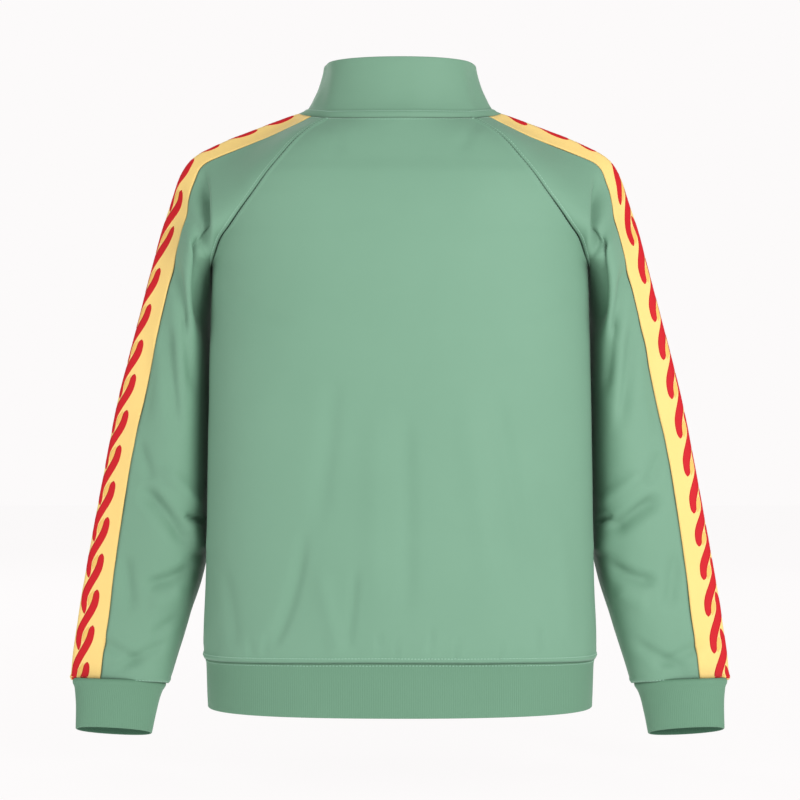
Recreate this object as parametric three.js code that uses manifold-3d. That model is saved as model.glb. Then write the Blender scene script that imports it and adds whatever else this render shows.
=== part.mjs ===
// Zip-through track jacket with raglan sleeves, worn shape with no wearer, mm.
// +Z up, +Y the wearer's front, +X the wearer's right. The tables give heights
// above the middle of the jacket's length; NECK_Z moves the origin to the neck.
import * as THREE from 'three';
import Module from 'manifold-3d';

// ---- driving sizes -------------------------------------------------------
const NECK_Z = 318;          // neck opening's middle, above the tables' zero
const WALL = 1.5;            // single cloth
const BAND_WALL = 2.4;       // folded double cloth: collar, hem band, cuffs
const SEAM = 0.3;            // gap left between neighbouring pieces
const RAGLAN_SEAM = 0.56;    // same gap, measured along the slanting rows
const TAPE_W = 50;           // sleeve tape's width
const ZIP_W = 6.2;           // gap between the two fronts
const CHAIN_W = 5.0, CHAIN_T = 2.6;
const ZIP_TAPE_IN = 2.9, ZIP_TAPE_OUT = 12.5, ZIP_TAPE_T = 1.0, ZIP_TAPE_DROP = 1.2;

const COLS = { body: 8, sleeveBack: 5, tape: 2, sleeveFront: 5 };

const COLOUR = {
  green: 0x8ab59b, hem: 0x79a78a, cuff: 0x74a185, yellow: 0xf5d98a,
  zipTape: 0x6f9a80, metal: 0xb9bcbc, chain: 0x8fb39c,
};

// ---- tables --------------------------------------------------------------
// A torso row runs from the centre line c to the side or raglan point q:
// w = mm along the raglan seam above the underarm (below it: minus the drop).
// k0 = handle at the centre line, kl = handle at q along (tx, ty, tz).
const TORSO_COLUMNS = ['w', 'cz', 'cy', 'k0', 'tx', 'ty', 'tz', 'kl'];
const TORSO_BACK = [
  [-437, -284.5, -110, 150, 0, 1, 0, 74],
  [-420, -267, -113.5, 149, 0, 1, 0, 75],
  [-353, -203, -113, 146, 0, 1, 0, 73],
  [-150, 0, -110, 142, 0, 1, 0, 72],
  [-50, 100, -109, 140, 0, 1, 0, 70],
  [0, 150, -108, 138, 0, 1, 0, 68],
  [23, 153.5, -107.8, 127, 0.18, 0.98, 0, 59],
  [48, 162, -107.5, 116, 0.37, 0.93, 0, 53],
  [77, 180, -107, 104, 0.55, 0.83, 0, 48],
  [95, 194, -106, 92, 0.71, 0.70, 0, 45],
  [115, 209.5, -104.8, 83, 0.80, 0.60, 0, 43],
  [141, 230.5, -101.8, 74, 0.86, 0.51, 0, 41],
  [163, 248.5, -98, 67, 0.89, 0.45, 0, 38],
  [183, 264, -91.5, 60, 0.90, 0.43, 0.05, 36],
  [223, 291, -81, 50, 0.87, 0.48, 0.08, 30],
  [263, 311, -72, 38, 0.84, 0.52, 0.10, 22],
];
const TORSO_FRONT = [
  [-437, -284.5, 110, 150, 0, -1, 0, 74],
  [-420, -267, 113, 149, 0, -1, 0, 75],
  [-353, -203, 113, 146, 0, -1, 0, 73],
  [-150, 0, 112, 142, 0, -1, 0, 72],
  [-50, 98, 110.5, 140, 0, -1, 0, 70],
  [0, 143, 108.5, 138, 0, -1, 0, 68],
  [23, 147.5, 108.2, 127, 0.18, -0.98, 0, 59],
  [48, 155, 107.6, 116, 0.37, -0.93, 0, 53],
  [77, 166, 106.6, 105, 0.55, -0.83, 0.03, 48],
  [95, 174, 105.3, 94, 0.69, -0.71, 0.06, 45],
  [115, 184, 103.4, 84, 0.77, -0.60, 0.12, 43],
  [141, 197.5, 100.2, 74, 0.82, -0.52, 0.18, 40],
  [163, 208, 97, 67, 0.84, -0.47, 0.24, 37],
  [183, 216.5, 94, 60, 0.82, -0.46, 0.30, 35],
  [223, 231, 89, 50, 0.72, -0.52, 0.42, 30],
  [263, 243, 85, 42, 0.50, -0.70, 0.50, 28],
];
// The seams that panels share: the side seam, and the two raglan seams.
const SEAM_COLUMNS = ['w', 'x', 'y', 'z'];
const SIDE = [
  [-437, 221.6, 0, -289.8], [-420, 222, 0, -271], [-353, 219.5, 0, -204],
  [-150, 215.8, 0, 0], [-50, 213.5, 0, 100], [0, 212, 0, 150],
];
const RAGLAN_BACK = [
  [0, 212, 0, 150], [23, 210.3, -16, 153], [48, 206.2, -31, 161.3], [77, 198.4, -45, 179.5],
  [95, 187.4, -57, 193.5], [115, 176, -66, 209], [141, 160, -74.5, 230], [163, 146.8, -77, 248.4],
  [183, 134.5, -74.5, 264], [223, 109.8, -63, 292.7], [263, 81.8, -47.5, 313.8],
];
const RAGLAN_FRONT = [
  [0, 212, 0, 150], [23, 210.3, 16, 152.6], [48, 206.2, 31, 158.8], [77, 199, 44, 172.5],
  [95, 189.5, 53.5, 184], [115, 178, 62, 198.5], [141, 161.5, 70, 218.5], [163, 148, 73, 236.5],
  [183, 135.5, 71, 252], [223, 114, 58, 281], [263, 92, 40, 308],
];
// t = mm along the sleeve from the underarm's level, negative on the cap,
// where it follows the raglan seam (t = -w). The underarm seam goes on below.
const UNDERARM = [
  [0, 213, 0, 150], [6, 213.1, 5, 144], [20, 213.3, 14, 130], [37, 213.8, 24, 113],
  [82, 214.2, 34, 68], [150, 213.8, 40, 0], [218, 214.2, 42, -68], [263, 215.4, 42, -113],
  [308, 218, 40, -158], [353, 226.5, 36, -203], [398, 240.5, 28, -249], [444, 255.5, 19, -298], [466, 262.5, 14, -322],
];
const UNDERARM_GAP = 1.2;    // how far the sleeve's ring starts outside the body
// The sleeve's outer ridge, as seen from behind.
const RIDGE = [
  [-263, 114, -3, 323.9], [-243, 121, -3, 321.2], [-223, 131, -3, 317.4], [-203, 147, -3, 311.3],
  [-183, 166, -3, 304.2], [-163, 189, -3, 295.6], [-141, 213, -3, 284.7], [-126, 228.5, -3, 276.9],
  [-115, 238.3, -3, 268.7], [-105, 245, -3, 258.8], [-95, 250.4, -3, 246.8], [-77, 257.4, -3, 225], [-48, 267, -3, 196.6], [-23, 274, -2.5, 172.5],
  [0, 280, -2, 150], [37, 289.5, -1, 113], [82, 301.5, 0, 68], [150, 318.7, 2, 0],
  [218, 332.5, 3, -68], [263, 341, 3, -113], [308, 349.3, 3, -158], [353, 357.3, 3, -203],
  [398, 364.5, 2, -248], [444, 371, 1, -294], [466, 372.6, 0, -316.4],
];
// Half a ring, from its seam to the ridge: handle kq along (tx, ty, tz) at the
// seam, handle ko along (ux, uy, uz) at the ridge; lift tips the ring.
const SLEEVE_COLUMNS = ['t', 'tx', 'ty', 'tz', 'kq', 'ux', 'uy', 'uz', 'ko', 'lift'];
const SLEEVE_BACK = [
  [-263, 0.70, 0.70, 0.14, 14, -0.30, -0.86, -0.40, 13, 0],
  [-243, 0.80, 0.58, 0.12, 24, -0.14, -0.62, -0.76, 19, 0],
  [-223, 0.85, 0.50, 0.10, 30, -0.10, -0.55, -0.83, 22, 0],
  [-183, 0.89, 0.44, 0.08, 35, -0.16, -0.54, -0.83, 26, 0],
  [-163, 0.90, 0.41, 0.08, 37, -0.28, -0.56, -0.78, 30, 0],
  [-141, 0.93, 0.33, 0.05, 38, -0.50, -0.58, -0.64, 36, 0],
  [-115, 0.97, 0.15, 0.02, 42, -0.72, -0.50, -0.48, 42, 0],
  [-95, 0.97, -0.15, 0, 48, -0.82, -0.44, -0.36, 44, 0],
  [-77, 0.88, -0.46, 0, 58, -0.88, -0.38, -0.26, 46, 0],
  [-48, 0.62, -0.78, 0, 74, -0.93, -0.32, -0.16, 48, 0],
  [-23, 0.36, -0.93, 0, 86, -0.95, -0.28, -0.08, 50, 0],
  [0, 0.14, -0.99, 0, 96, -0.96, -0.27, -0.03, 50, 0],
  [37, 0.12, -0.99, 0, 106, -0.96, -0.26, 0, 50, 0],
  [82, 0.12, -0.99, 0, 114, -0.97, -0.25, 0, 50, 0],
  [150, 0.12, -0.99, 0, 118, -0.97, -0.24, 0, 50, 0],
  [218, 0.13, -0.99, 0, 116, -0.97, -0.23, 0, 52, 0],
  [263, 0.13, -0.99, 0, 110, -0.98, -0.21, 0, 52, 0],
  [308, 0.09, -1, 0, 100, -0.98, -0.20, 0, 52, 0],
  [353, 0.02, -1, 0, 86, -0.98, -0.20, 0, 52, 0],
  [398, 0, -1, 0, 68, -0.98, -0.22, 0, 48, 0.04],
  [444, -0.02, -1, 0, 48, -0.95, -0.32, 0, 40, 0.11],
  [466, 0, -1, 0, 39, -0.90, -0.45, 0, 34, 0.15],
];
const SLEEVE_FRONT = [
  [-263, 0.50, -0.70, 0.40, 18, 0, 1, -0.15, 16, 0],
  [-243, 0.62, -0.62, 0.41, 23, -0.03, 0.90, -0.40, 20, 0],
  [-223, 0.72, -0.52, 0.42, 28, -0.05, 0.86, -0.50, 24, 0],
  [-183, 0.82, -0.46, 0.30, 34, -0.10, 0.84, -0.54, 28, 0],
  [-163, 0.84, -0.46, 0.25, 36, -0.16, 0.82, -0.54, 30, 0],
  [-141, 0.92, -0.32, 0.20, 39, -0.30, 0.78, -0.54, 34, 0],
  [-115, 0.98, -0.06, 0.10, 46, -0.42, 0.80, -0.42, 42, 0],
  [-95, 0.96, 0.20, 0.04, 53, -0.48, 0.82, -0.30, 48, 0],
  [-77, 0.86, 0.48, 0, 61, -0.52, 0.83, -0.20, 54, 0],
  [-48, 0.62, 0.78, 0, 74, -0.55, 0.83, -0.10, 62, 0],
  [-23, 0.36, 0.93, 0, 81, -0.56, 0.83, -0.04, 68, 0],
  [0, 0.08, 0.99, 0, 84, -0.57, 0.82, 0, 70, 0],
  [37, 0.02, 1, 0, 80, -0.57, 0.82, 0, 70, 0],
  [82, 0, 1, 0, 74, -0.57, 0.82, 0, 70, 0],
  [150, 0, 1, 0, 68, -0.57, 0.82, 0, 68, 0],
  [218, 0, 1, 0, 62, -0.57, 0.82, 0, 64, 0],
  [263, 0, 1, 0, 58, -0.57, 0.82, 0, 61, 0],
  [308, 0.02, 1, 0, 54, -0.57, 0.82, 0, 57, 0],
  [353, 0.02, 1, 0, 51, -0.57, 0.82, 0, 53, 0],
  [398, 0.02, 1, 0, 47, -0.56, 0.83, 0, 46, 0.04],
  [444, 0.02, 1, 0, 42, -0.50, 0.87, 0, 38, 0.11],
  [466, 0, 1, 0, 38, -0.40, 0.92, 0, 34, 0.15],
];
// Arc each side of the ridge that is rounded off.
const RIDGE_ROUND_COLUMNS = ['t', 'r'];
const RIDGE_ROUND = [[-263, 4.5], [-163, 5], [-126, 6.5], [-95, 8], [-48, 9], [466, 9]];
// Arc from the ridge back to the tape's back edge.
const TAPE_EDGE_COLUMNS = ['t', 'e'];
const TAPE_EDGE = [
  [-263, 29], [-243, 28], [-223, 28], [-203, 27], [-183, 24.5], [-163, 22.8], [-141, 20.5], [-126, 19.8],
  [-115, 21.3], [-105, 24], [-95, 26], [-77, 32.5], [-48, 36], [-23, 33.3], [0, 32.2], [37, 31], [82, 31.5],
  [150, 34], [218, 33], [263, 33.5], [308, 34.5], [353, 36], [398, 38], [466, 38],
];
// A cuff ring, the same way; c = mm below its seam.
const CUFF_COLUMNS = ['c', 'ox', 'oy', 'oz', 'qx', 'qy', 'qz', 'k', 'lift'];
const CUFF = [
  [0, 370.8, 0, -317.2, 264.8, 14, -322.9, 37, 0.16],
  [8, 367.4, 0, -325, 270.4, 13.5, -331, 34, 0.20],
  [30, 366, 0, -347, 276.6, 12.5, -353, 31, 0.27],
  [55.5, 366.4, 0, -371.8, 281.8, 12, -378.4, 28, 0.33],
];
// The collar's rows: share of its height, share of the way in from the neck
// curve to the top curve (the base flares).
const COLLAR_COLUMNS = ['h', 'in'];
const COLLAR = [[0, 0], [0.12, 0.34], [0.28, 0.66], [0.56, 0.90], [1, 1]];
const COLLAR_TOP = { backY: -60, backZ: 378, sideX: 87, sideY: 2, sideZ: 377, frontY: 76, frontZ: 311 };
// The hem band's rows: mm below the seam, mm drawn in from the seam's line.
const HEM_COLUMNS = ['d', 'in'];
const HEM = [[0, 1.8], [6, 3.2], [30, 4.0], [57.5, 5.0]];

// The largest folds, laid on the cloth as seen from behind: ends (x, z), depth
// (out is positive), half width, and the side they lie on (-1 back, 1 front).
const FOLD_COLUMNS = ['side', 'x0', 'z0', 'x1', 'z1', 'depth', 'width'];
const FOLDS = [
  [-1, -219, 262, -214, 165, -7, 15],
  [-1, 222, 262, 216, 168, -7, 15],
  [-1, -243, 205, -236, 120, -3.5, 14],
  [-1, 238, 215, 228, 110, -3.5, 14],
  [-1, -258, 80, -244, -50, -3.5, 16],
  [-1, 258, 85, 246, -45, -3.5, 16],
  [-1, -291, -98, -231, -166, -5.5, 14],
  [-1, 291, -92, 231, -158, -5.5, 14],
  [-1, -268, -78, -226, -132, 4, 13],
  [-1, 268, -72, 226, -126, 4, 13],
  [-1, -286, -200, -230, -186, -3.5, 12],
  [-1, 284, -206, 232, -190, -3.5, 12],
  [-1, -310, -170, -302, -240, -3, 14],
  [-1, 318, -168, 300, -236, -3, 14],
  [-1, -140, -282, -96, -90, -3.2, 20],
  [-1, 8, -282, 10, -120, -3.0, 20],
  [-1, 152, -282, 118, -100, -3.2, 20],
  [-1, -28, -282, -34, -150, 2.6, 20],
  [-1, 112, -282, 84, -140, 2.6, 20],
  [1, -135, -282, -100, -110, -3.0, 20],
  [1, 135, -282, 104, -100, -3.0, 20],
  [1, -219, 255, -214, 165, -6, 15],
  [1, 219, 255, 214, 165, -6, 15],
  [1, -286, -100, -232, -150, -5, 14],
  [1, 286, -96, 232, -146, -5, 14],
  [1, -290, -205, -236, -186, -3, 12],
  [1, 290, -205, 236, -186, -3, 12],
];

// ---- curves --------------------------------------------------------------
const hermite = (p0, p1, m0, m1, h, u) => {
  const u2 = u * u, u3 = u2 * u;
  return (2 * u3 - 3 * u2 + 1) * p0 + (u3 - 2 * u2 + u) * h * m0
    + (3 * u2 - 2 * u3) * p1 + (u3 - u2) * h * m1;
};
// Smooth reading of a table, without overshoot between its rows.
function reader(columns, rows) {
  const x = rows.map((r) => r[0]), n = x.length;
  const slopes = columns.map((_, c) => {
    const d = [];
    for (let i = 0; i < n - 1; i++) d.push((rows[i + 1][c] - rows[i][c]) / (x[i + 1] - x[i]));
    return x.map((_, i) => {
      if (i === 0) return d[0];
      if (i === n - 1) return d[n - 2];
      if (d[i - 1] * d[i] <= 0) return 0;
      const h0 = x[i] - x[i - 1], h1 = x[i + 1] - x[i];
      const a = 2 * h1 + h0, b = h1 + 2 * h0;
      return (a + b) / (a / d[i - 1] + b / d[i]);
    });
  });
  return (key) => {
    const k = Math.min(Math.max(key, x[0]), x[n - 1]);
    let i = 0;
    while (i < n - 2 && k > x[i + 1]) i++;
    const h = x[i + 1] - x[i], u = (k - x[i]) / h, out = {};
    columns.forEach((name, c) => {
      out[name] = c === 0 ? k : hermite(rows[i][c], rows[i + 1][c], slopes[c][i], slopes[c][i + 1], h, u);
    });
    return out;
  };
}
const V = (x, y, z) => new THREE.Vector3(x, y, z);
const lerp = (a, b, u) => a + (b - a) * u;
const clamp01 = (u) => Math.min(1, Math.max(0, u));
const smooth = (u) => { const c = clamp01(u); return c * c * (3 - 2 * c); };
function bezier(p0, p1, p2, p3, n = 48) {
  const out = [];
  for (let i = 0; i <= n; i++) {
    const u = i / n, v = 1 - u;
    out.push(V(0, 0, 0).addScaledVector(p0, v * v * v).addScaledVector(p1, 3 * v * v * u)
      .addScaledVector(p2, 3 * v * u * u).addScaledVector(p3, u * u * u));
  }
  return out;
}
function lengths(line) {
  const s = [0];
  for (let i = 1; i < line.length; i++) s.push(s[i - 1] + line[i].distanceTo(line[i - 1]));
  return s;
}
function along(line, s, at) {
  let i = 0;
  while (i < s.length - 2 && at > s[i + 1]) i++;
  return line[i].clone().lerp(line[i + 1], (at - s[i]) / (s[i + 1] - s[i]));
}
// Even points of a line between two arcs; each keeps the line's direction there.
const between = (line, from, to, cols) => {
  const s = lengths(line), end = s.at(-1);
  return Array.from({ length: cols + 1 }, (_, j) => {
    const at = lerp(from, to, j / cols), p = along(line, s, at);
    p.run = along(line, s, Math.min(at + 2, end)).sub(along(line, s, Math.max(at - 2, 0)));
    if (to < from) p.run.negate();
    return p;
  });
};

// ---- surfaces ------------------------------------------------------------
const torsoBack = reader(TORSO_COLUMNS, TORSO_BACK);
const torsoFront = reader(TORSO_COLUMNS, TORSO_FRONT);
const sleeveBack = reader(SLEEVE_COLUMNS, SLEEVE_BACK);
const sleeveFront = reader(SLEEVE_COLUMNS, SLEEVE_FRONT);
const [sideSeam, raglanBack, raglanFront, underarm, ridgeLine] =
  [SIDE, RAGLAN_BACK, RAGLAN_FRONT, UNDERARM, RIDGE].map((t) => reader(SEAM_COLUMNS, t));
const tapeEdge = reader(TAPE_EDGE_COLUMNS, TAPE_EDGE);
const cuffRing = reader(CUFF_COLUMNS, CUFF);
const ridgeRound = reader(RIDGE_ROUND_COLUMNS, RIDGE_ROUND);

const at = (r) => V(r.x, r.y, r.z);
function torsoRow(read, raglan, w) {
  const r = read(w), q = at(w > 0 ? raglan(w) : sideSeam(w)), t = V(r.tx, r.ty, r.tz).normalize();
  return bezier(V(0, r.cy, r.cz), V(r.k0, r.cy, r.cz), q.clone().addScaledVector(t, -r.kl), q);
}
const backRow = (w) => torsoRow(torsoBack, raglanBack, w);
const frontRow = (w) => torsoRow(torsoFront, raglanFront, w);
function sleeveRing(t) {
  const halves = [[sleeveBack, raglanBack, -1], [sleeveFront, raglanFront, 1]].map(([read, raglan, side]) => {
    const r = read(t), q = at(t < 0 ? raglan(-t) : underarm(t));
    if (t < 0) q.x += UNDERARM_GAP * smooth(1 + t / 30);
    const p1 = q.clone().addScaledVector(V(r.tx, r.ty, r.tz).normalize(), r.kq);
    p1.z -= side * r.lift * r.kq;
    const u = V(r.ux, r.uy, r.uz).normalize();
    u.z -= side * r.lift * Math.abs(u.y);
    return { q, p1, u, ko: r.ko };
  });
  const [back, front] = halves, ridge = at(ridgeLine(t)), round0 = ridgeRound(t).r;
  const o = ridge.clone().addScaledVector(back.u.clone().add(front.u), -round0 / 4);
  const [lb, lf] = halves.map((h) => bezier(h.q, h.p1, o.clone().addScaledVector(h.u, h.ko), o));
  const sb = lengths(lb), sf = lengths(lf), cb = sb.at(-1) - round0, cf = sf.at(-1) - round0;
  const a = along(lb, sb, cb), b = along(lf, sf, cf), round = [];
  for (let i = 0; i <= 10; i++) {
    const v = i / 10;
    round.push(a.clone().multiplyScalar((1 - v) ** 2).addScaledVector(o, 2 * v * (1 - v)).addScaledVector(b, v * v));
  }
  const head = lb.filter((_, i) => sb[i] < cb - 0.5), tail = lf.filter((_, i) => sf[i] < cf - 0.5).reverse();
  const line = [...head, ...round, ...tail], s = lengths(line), peak = s[head.length + 5];
  const e = tapeEdge(t).e;
  return { line, total: s.at(-1), peak, from: peak - e, to: peak + TAPE_W - e };
}

// Displacement of the cloth by its folds, out along the normal.
function foldDepth(p, n) {
  const side = n.y < 0 ? -1 : 1, facing = smooth((Math.abs(n.y) - 0.15) / 0.5);
  let d = 0;
  for (const [s, x0, z0, x1, z1, depth, width] of FOLDS) {
    if (s !== side) continue;
    const ex = x1 - x0, ez = z1 - z0, L2 = ex * ex + ez * ez;
    const u = ((p.x - x0) * ex + (p.z - z0) * ez) / L2;
    if (u < -0.3 || u > 1.3) continue;
    const c = clamp01(u), gap = Math.hypot(p.x - x0 - c * ex, p.z - z0 - c * ez) / width;
    d += depth * Math.exp(-gap * gap) * smooth(1 - Math.abs(u - 0.5) * 1.1);
  }
  return d * facing;
}

// ---- solids --------------------------------------------------------------
const shift = (p) => V(p.x, p.y, p.z - NECK_Z);
function gridNormals(grid, out, closed = false) {
  const R = grid.length, C = grid[0].length;
  return grid.map((row, i) => row.map((_, j) => {
    const up = grid[Math.max(i - 1, 0)][j], down = grid[Math.min(i + 1, R - 1)][j];
    const l = closed ? row[(j - 1 + C) % C] : row[Math.max(j - 1, 0)];
    const r = closed ? row[(j + 1) % C] : row[Math.min(j + 1, C - 1)];
    const run = row[j].run ?? r.clone().sub(l);
    return down.clone().sub(up).cross(run).multiplyScalar(out).normalize();
  }));
}
// A wall grown inwards from its outer grid (rows of points), as a closed body.
function wall(grid, out, thick, { closed = false, folds = false } = {}) {
  const n = gridNormals(grid, out, closed);
  const g = grid.map((row, i) => row.map((p, j) => p.clone().addScaledVector(n[i][j], folds ? foldDepth(p, n[i][j]) : 0)));
  const inner = g.map((row, i) => row.map((p, j) => p.clone().addScaledVector(n[i][j], -thick)));
  const R = g.length, C = g[0].length, pts = [], idx = [];
  for (const side of [g, inner]) for (const row of side) for (const p of row) pts.push(shift(p));
  const id = (s, i, j) => s * R * C + i * C + (closed ? (j + C) % C : j);
  const quad = (a, b, c, d) => idx.push(a, b, c, a, c, d);
  const last = closed ? C : C - 1;
  for (let i = 0; i < R - 1; i++) for (let j = 0; j < last; j++) {
    quad(id(0, i, j), id(0, i, j + 1), id(0, i + 1, j + 1), id(0, i + 1, j));
    quad(id(1, i, j), id(1, i + 1, j), id(1, i + 1, j + 1), id(1, i, j + 1));
  }
  for (let j = 0; j < last; j++) {
    quad(id(0, 0, j), id(1, 0, j), id(1, 0, j + 1), id(0, 0, j + 1));
    quad(id(0, R - 1, j), id(0, R - 1, j + 1), id(1, R - 1, j + 1), id(1, R - 1, j));
  }
  if (!closed) for (let i = 0; i < R - 1; i++) {
    quad(id(0, i, 0), id(0, i + 1, 0), id(1, i + 1, 0), id(1, i, 0));
    quad(id(0, i, C - 1), id(1, i, C - 1), id(1, i + 1, C - 1), id(0, i + 1, C - 1));
  }
  return body(pts, idx);
}
function body(pts, idx) {
  let vol = 0;
  for (let k = 0; k < idx.length; k += 3) vol += pts[idx[k]].dot(pts[idx[k + 1]].clone().cross(pts[idx[k + 2]]));
  if (vol < 0) for (let k = 0; k < idx.length; k += 3) [idx[k + 1], idx[k + 2]] = [idx[k + 2], idx[k + 1]];
  const geo = new THREE.BufferGeometry();
  geo.setAttribute('position', new THREE.Float32BufferAttribute(pts.flatMap((p) => [p.x, p.y, p.z]), 3));
  geo.setIndex(idx);
  return geo;
}
const across = (p, back = 1) => {                            // the same point on the other side
  const q = V(-p.x, p.y, p.z);
  if (p.run) q.run = V(-p.run.x, p.run.y, p.run.z).multiplyScalar(back);
  return q;
};
const mirror = (grid) => grid.map((row) => row.map((p) => across(p)));

const group = new THREE.Group();
group.name = 'track_jacket';
const cloth = { roughness: 0.75, metalness: 0 }, metal = { roughness: 0.35, metalness: 0.9 };
function add(name, geo, color, look) {
  geo.computeVertexNormals();
  const mesh = new THREE.Mesh(geo, new THREE.MeshStandardMaterial({ color, ...look }));
  mesh.name = name;
  group.add(mesh);
}

// ---- torso ---------------------------------------------------------------
// Rows below the underarm, then rows that share the raglan seam's stations.
const CAP_STATIONS = [0, 20, 40, 60, 80, 101, 122, 143, 165, 187, 209, 231, 248, 263];
const capW = CAP_STATIONS.map((s) => 263 - s);                 // from the neck down
const BODY_STATIONS = [-28, -75, -130, -190, -250, -310, -360, -398, -421, -437];
const torsoW = capW.concat(BODY_STATIONS);
const inset = SEAM / 2;
function torsoGrid(rowAt, edge) {
  return torsoW.map((w) => {
    const ww = w === 263 ? w - inset : w === -437 ? w + inset : w;
    const line = rowAt(ww), L = lengths(line).at(-1);
    const cut = w > 0 ? RAGLAN_SEAM / 2 : inset;
    return between(line, edge, L - cut, COLS.body);
  });
}
const backHalf = torsoGrid(backRow, 0);
const frontHalf = torsoGrid(frontRow, ZIP_W / 2);
// the full back, wearer's left edge to the wearer's right edge
const backGrid = backHalf.map((row) => row.slice(1).reverse().map((p) => across(p, -1)).concat(row));
add('back', wall(backGrid, 1, WALL, { folds: true }), COLOUR.green, cloth);
add('front_right', wall(frontHalf, -1, WALL, { folds: true }), COLOUR.green, cloth);
add('front_left', wall(mirror(frontHalf), 1, WALL, { folds: true }), COLOUR.green, cloth);

// ---- sleeves -------------------------------------------------------------
const ARM_STATIONS = [26, 56, 90, 126, 162, 198, 230, 260, 292, 324, 356, 388, 420, 446, 466];
const sleeveT = CAP_STATIONS.map((s) => s - 263).concat(ARM_STATIONS);
const rings = sleeveT.map((t) => ({ t, ...sleeveRing(t === -263 ? t + inset : t === 466 ? t - inset : t) }));
const seamCut = (t) => (t < 0 ? RAGLAN_SEAM / 2 : 0.3);
const sleeveGrids = {
  sleeve_back: rings.map((r) => between(r.line, seamCut(r.t), r.from - inset, COLS.sleeveBack)),
  sleeve_tape: rings.map((r) => between(r.line, r.from + inset, r.to - inset, COLS.tape)),
  sleeve_front: rings.map((r) => between(r.line, r.to + inset, r.total - seamCut(r.t), COLS.sleeveFront)),
};
// both pieces share one direction where they meet under the arm
rings.forEach((r, i) => {
  if (r.t < 0) return;
  sleeveGrids.sleeve_back[i][0].run = V(0, -1, 0);
  sleeveGrids.sleeve_front[i].at(-1).run = V(0, -1, 0);
});
for (const [name, grid] of Object.entries(sleeveGrids)) {
  const colour = name === 'sleeve_tape' ? COLOUR.yellow : COLOUR.green;
  add(`${name}_right`, wall(grid, 1, WALL, { folds: true }), colour, cloth);
  add(`${name}_left`, wall(mirror(grid), -1, WALL, { folds: true }), colour, cloth);
}

// ---- cuffs ---------------------------------------------------------------
// Each ring keeps the columns of the sleeve pieces above it.
function cuffGrid() {
  const cols = COLS.sleeveBack + COLS.tape + COLS.sleeveFront;
  return [0, 8, 26, 55.5].map((c) => {
    const r = cuffRing(c === 0 ? SEAM : c), q = V(r.qx, r.qy, r.qz), o = V(r.ox, r.oy, r.oz);
    const half = (side) => bezier(q, V(q.x, q.y + side * r.k, q.z - side * r.lift * r.k),
      V(o.x, o.y + side * r.k, o.z - side * r.lift * r.k), o);
    const line = half(-1).concat(half(1).slice(0, -1).reverse()), L = lengths(line).at(-1);
    return between(line, 0, L, cols).slice(0, -1);
  });
}
const cuff = cuffGrid();
add('cuff_right', wall(cuff, 1, BAND_WALL, { closed: true }), COLOUR.cuff, cloth);
add('cuff_left', wall(mirror(cuff), -1, BAND_WALL, { closed: true }), COLOUR.cuff, cloth);

// ---- hem band ------------------------------------------------------------
// From zip to zip round the back, on the columns of the panels above it.
function hemLine() {
  const back = backRow(-437), front = frontRow(-437);
  const lb = lengths(back).at(-1), lf = lengths(front).at(-1);
  const right = between(front, ZIP_W / 2, lf, COLS.body).concat(between(back, lb, 0, COLS.body).slice(1));
  return right.concat(right.slice(0, -1).reverse().map((p) => across(p, -1)));
}
const hemSeam = hemLine();
const HEM_DEPTH = HEM.at(-1)[0], HEM_EDGE = -344.8;
const hemGrid = HEM.map(([d, inward]) => hemSeam.map((p, j) => {
  const r = V(p.run.x, p.run.y, 0).normalize(), edge = j === 0 || j === hemSeam.length - 1;
  const n = edge ? V(0, 1, 0) : V(-r.y, r.x, 0).multiplyScalar(Math.sign(-r.y * p.x + r.x * p.y));
  const q = V(p.x - n.x * inward, p.y - n.y * inward, lerp(p.z - SEAM / 2, HEM_EDGE, d / HEM_DEPTH));
  q.run = r;
  return q;
}));
add('hem_band', wall(hemGrid, -1, BAND_WALL), COLOUR.hem, cloth);

// ---- collar --------------------------------------------------------------
// Its base keeps the neck edge of every piece below it, in order round the neck.
function neckLine() {
  const end = (line, from, to, cols) => between(line, from, to, cols);
  const front = frontRow(263), back = backRow(263), ring = sleeveRing(-263);
  const lf = lengths(front).at(-1), lb = lengths(back).at(-1);
  const right = [
    ...end(front, ZIP_W / 2, lf, COLS.body),
    ...end(ring.line, ring.total, ring.to, COLS.sleeveFront).slice(1),
    ...end(ring.line, ring.to, ring.from, COLS.tape).slice(1),
    ...end(ring.line, ring.from, 0, COLS.sleeveBack).slice(1),
    ...end(back, lb, 0, COLS.body).slice(1),
  ];
  return right.concat(right.slice(0, -1).reverse().map((p) => across(p, -1)));
}
function collarTopLine(n) {
  const T = COLLAR_TOP, side = V(T.sideX, T.sideY, T.sideZ);
  const front = bezier(V(0, T.frontY, T.frontZ), V(48, T.frontY, T.frontZ + 2),
    V(T.sideX, T.sideY + 38, T.sideZ - 22), side);
  const back = bezier(side, V(T.sideX, T.sideY - 36, T.sideZ + 1), V(52, T.backY, T.backZ), V(0, T.backY, T.backZ));
  const line = front.concat(back.slice(1));
  return between(line, ZIP_W / 2, lengths(line).at(-1), n);
}
const neck = neckLine(), half = (neck.length - 1) / 2, neckHalf = neck.slice(0, half + 1);
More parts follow.
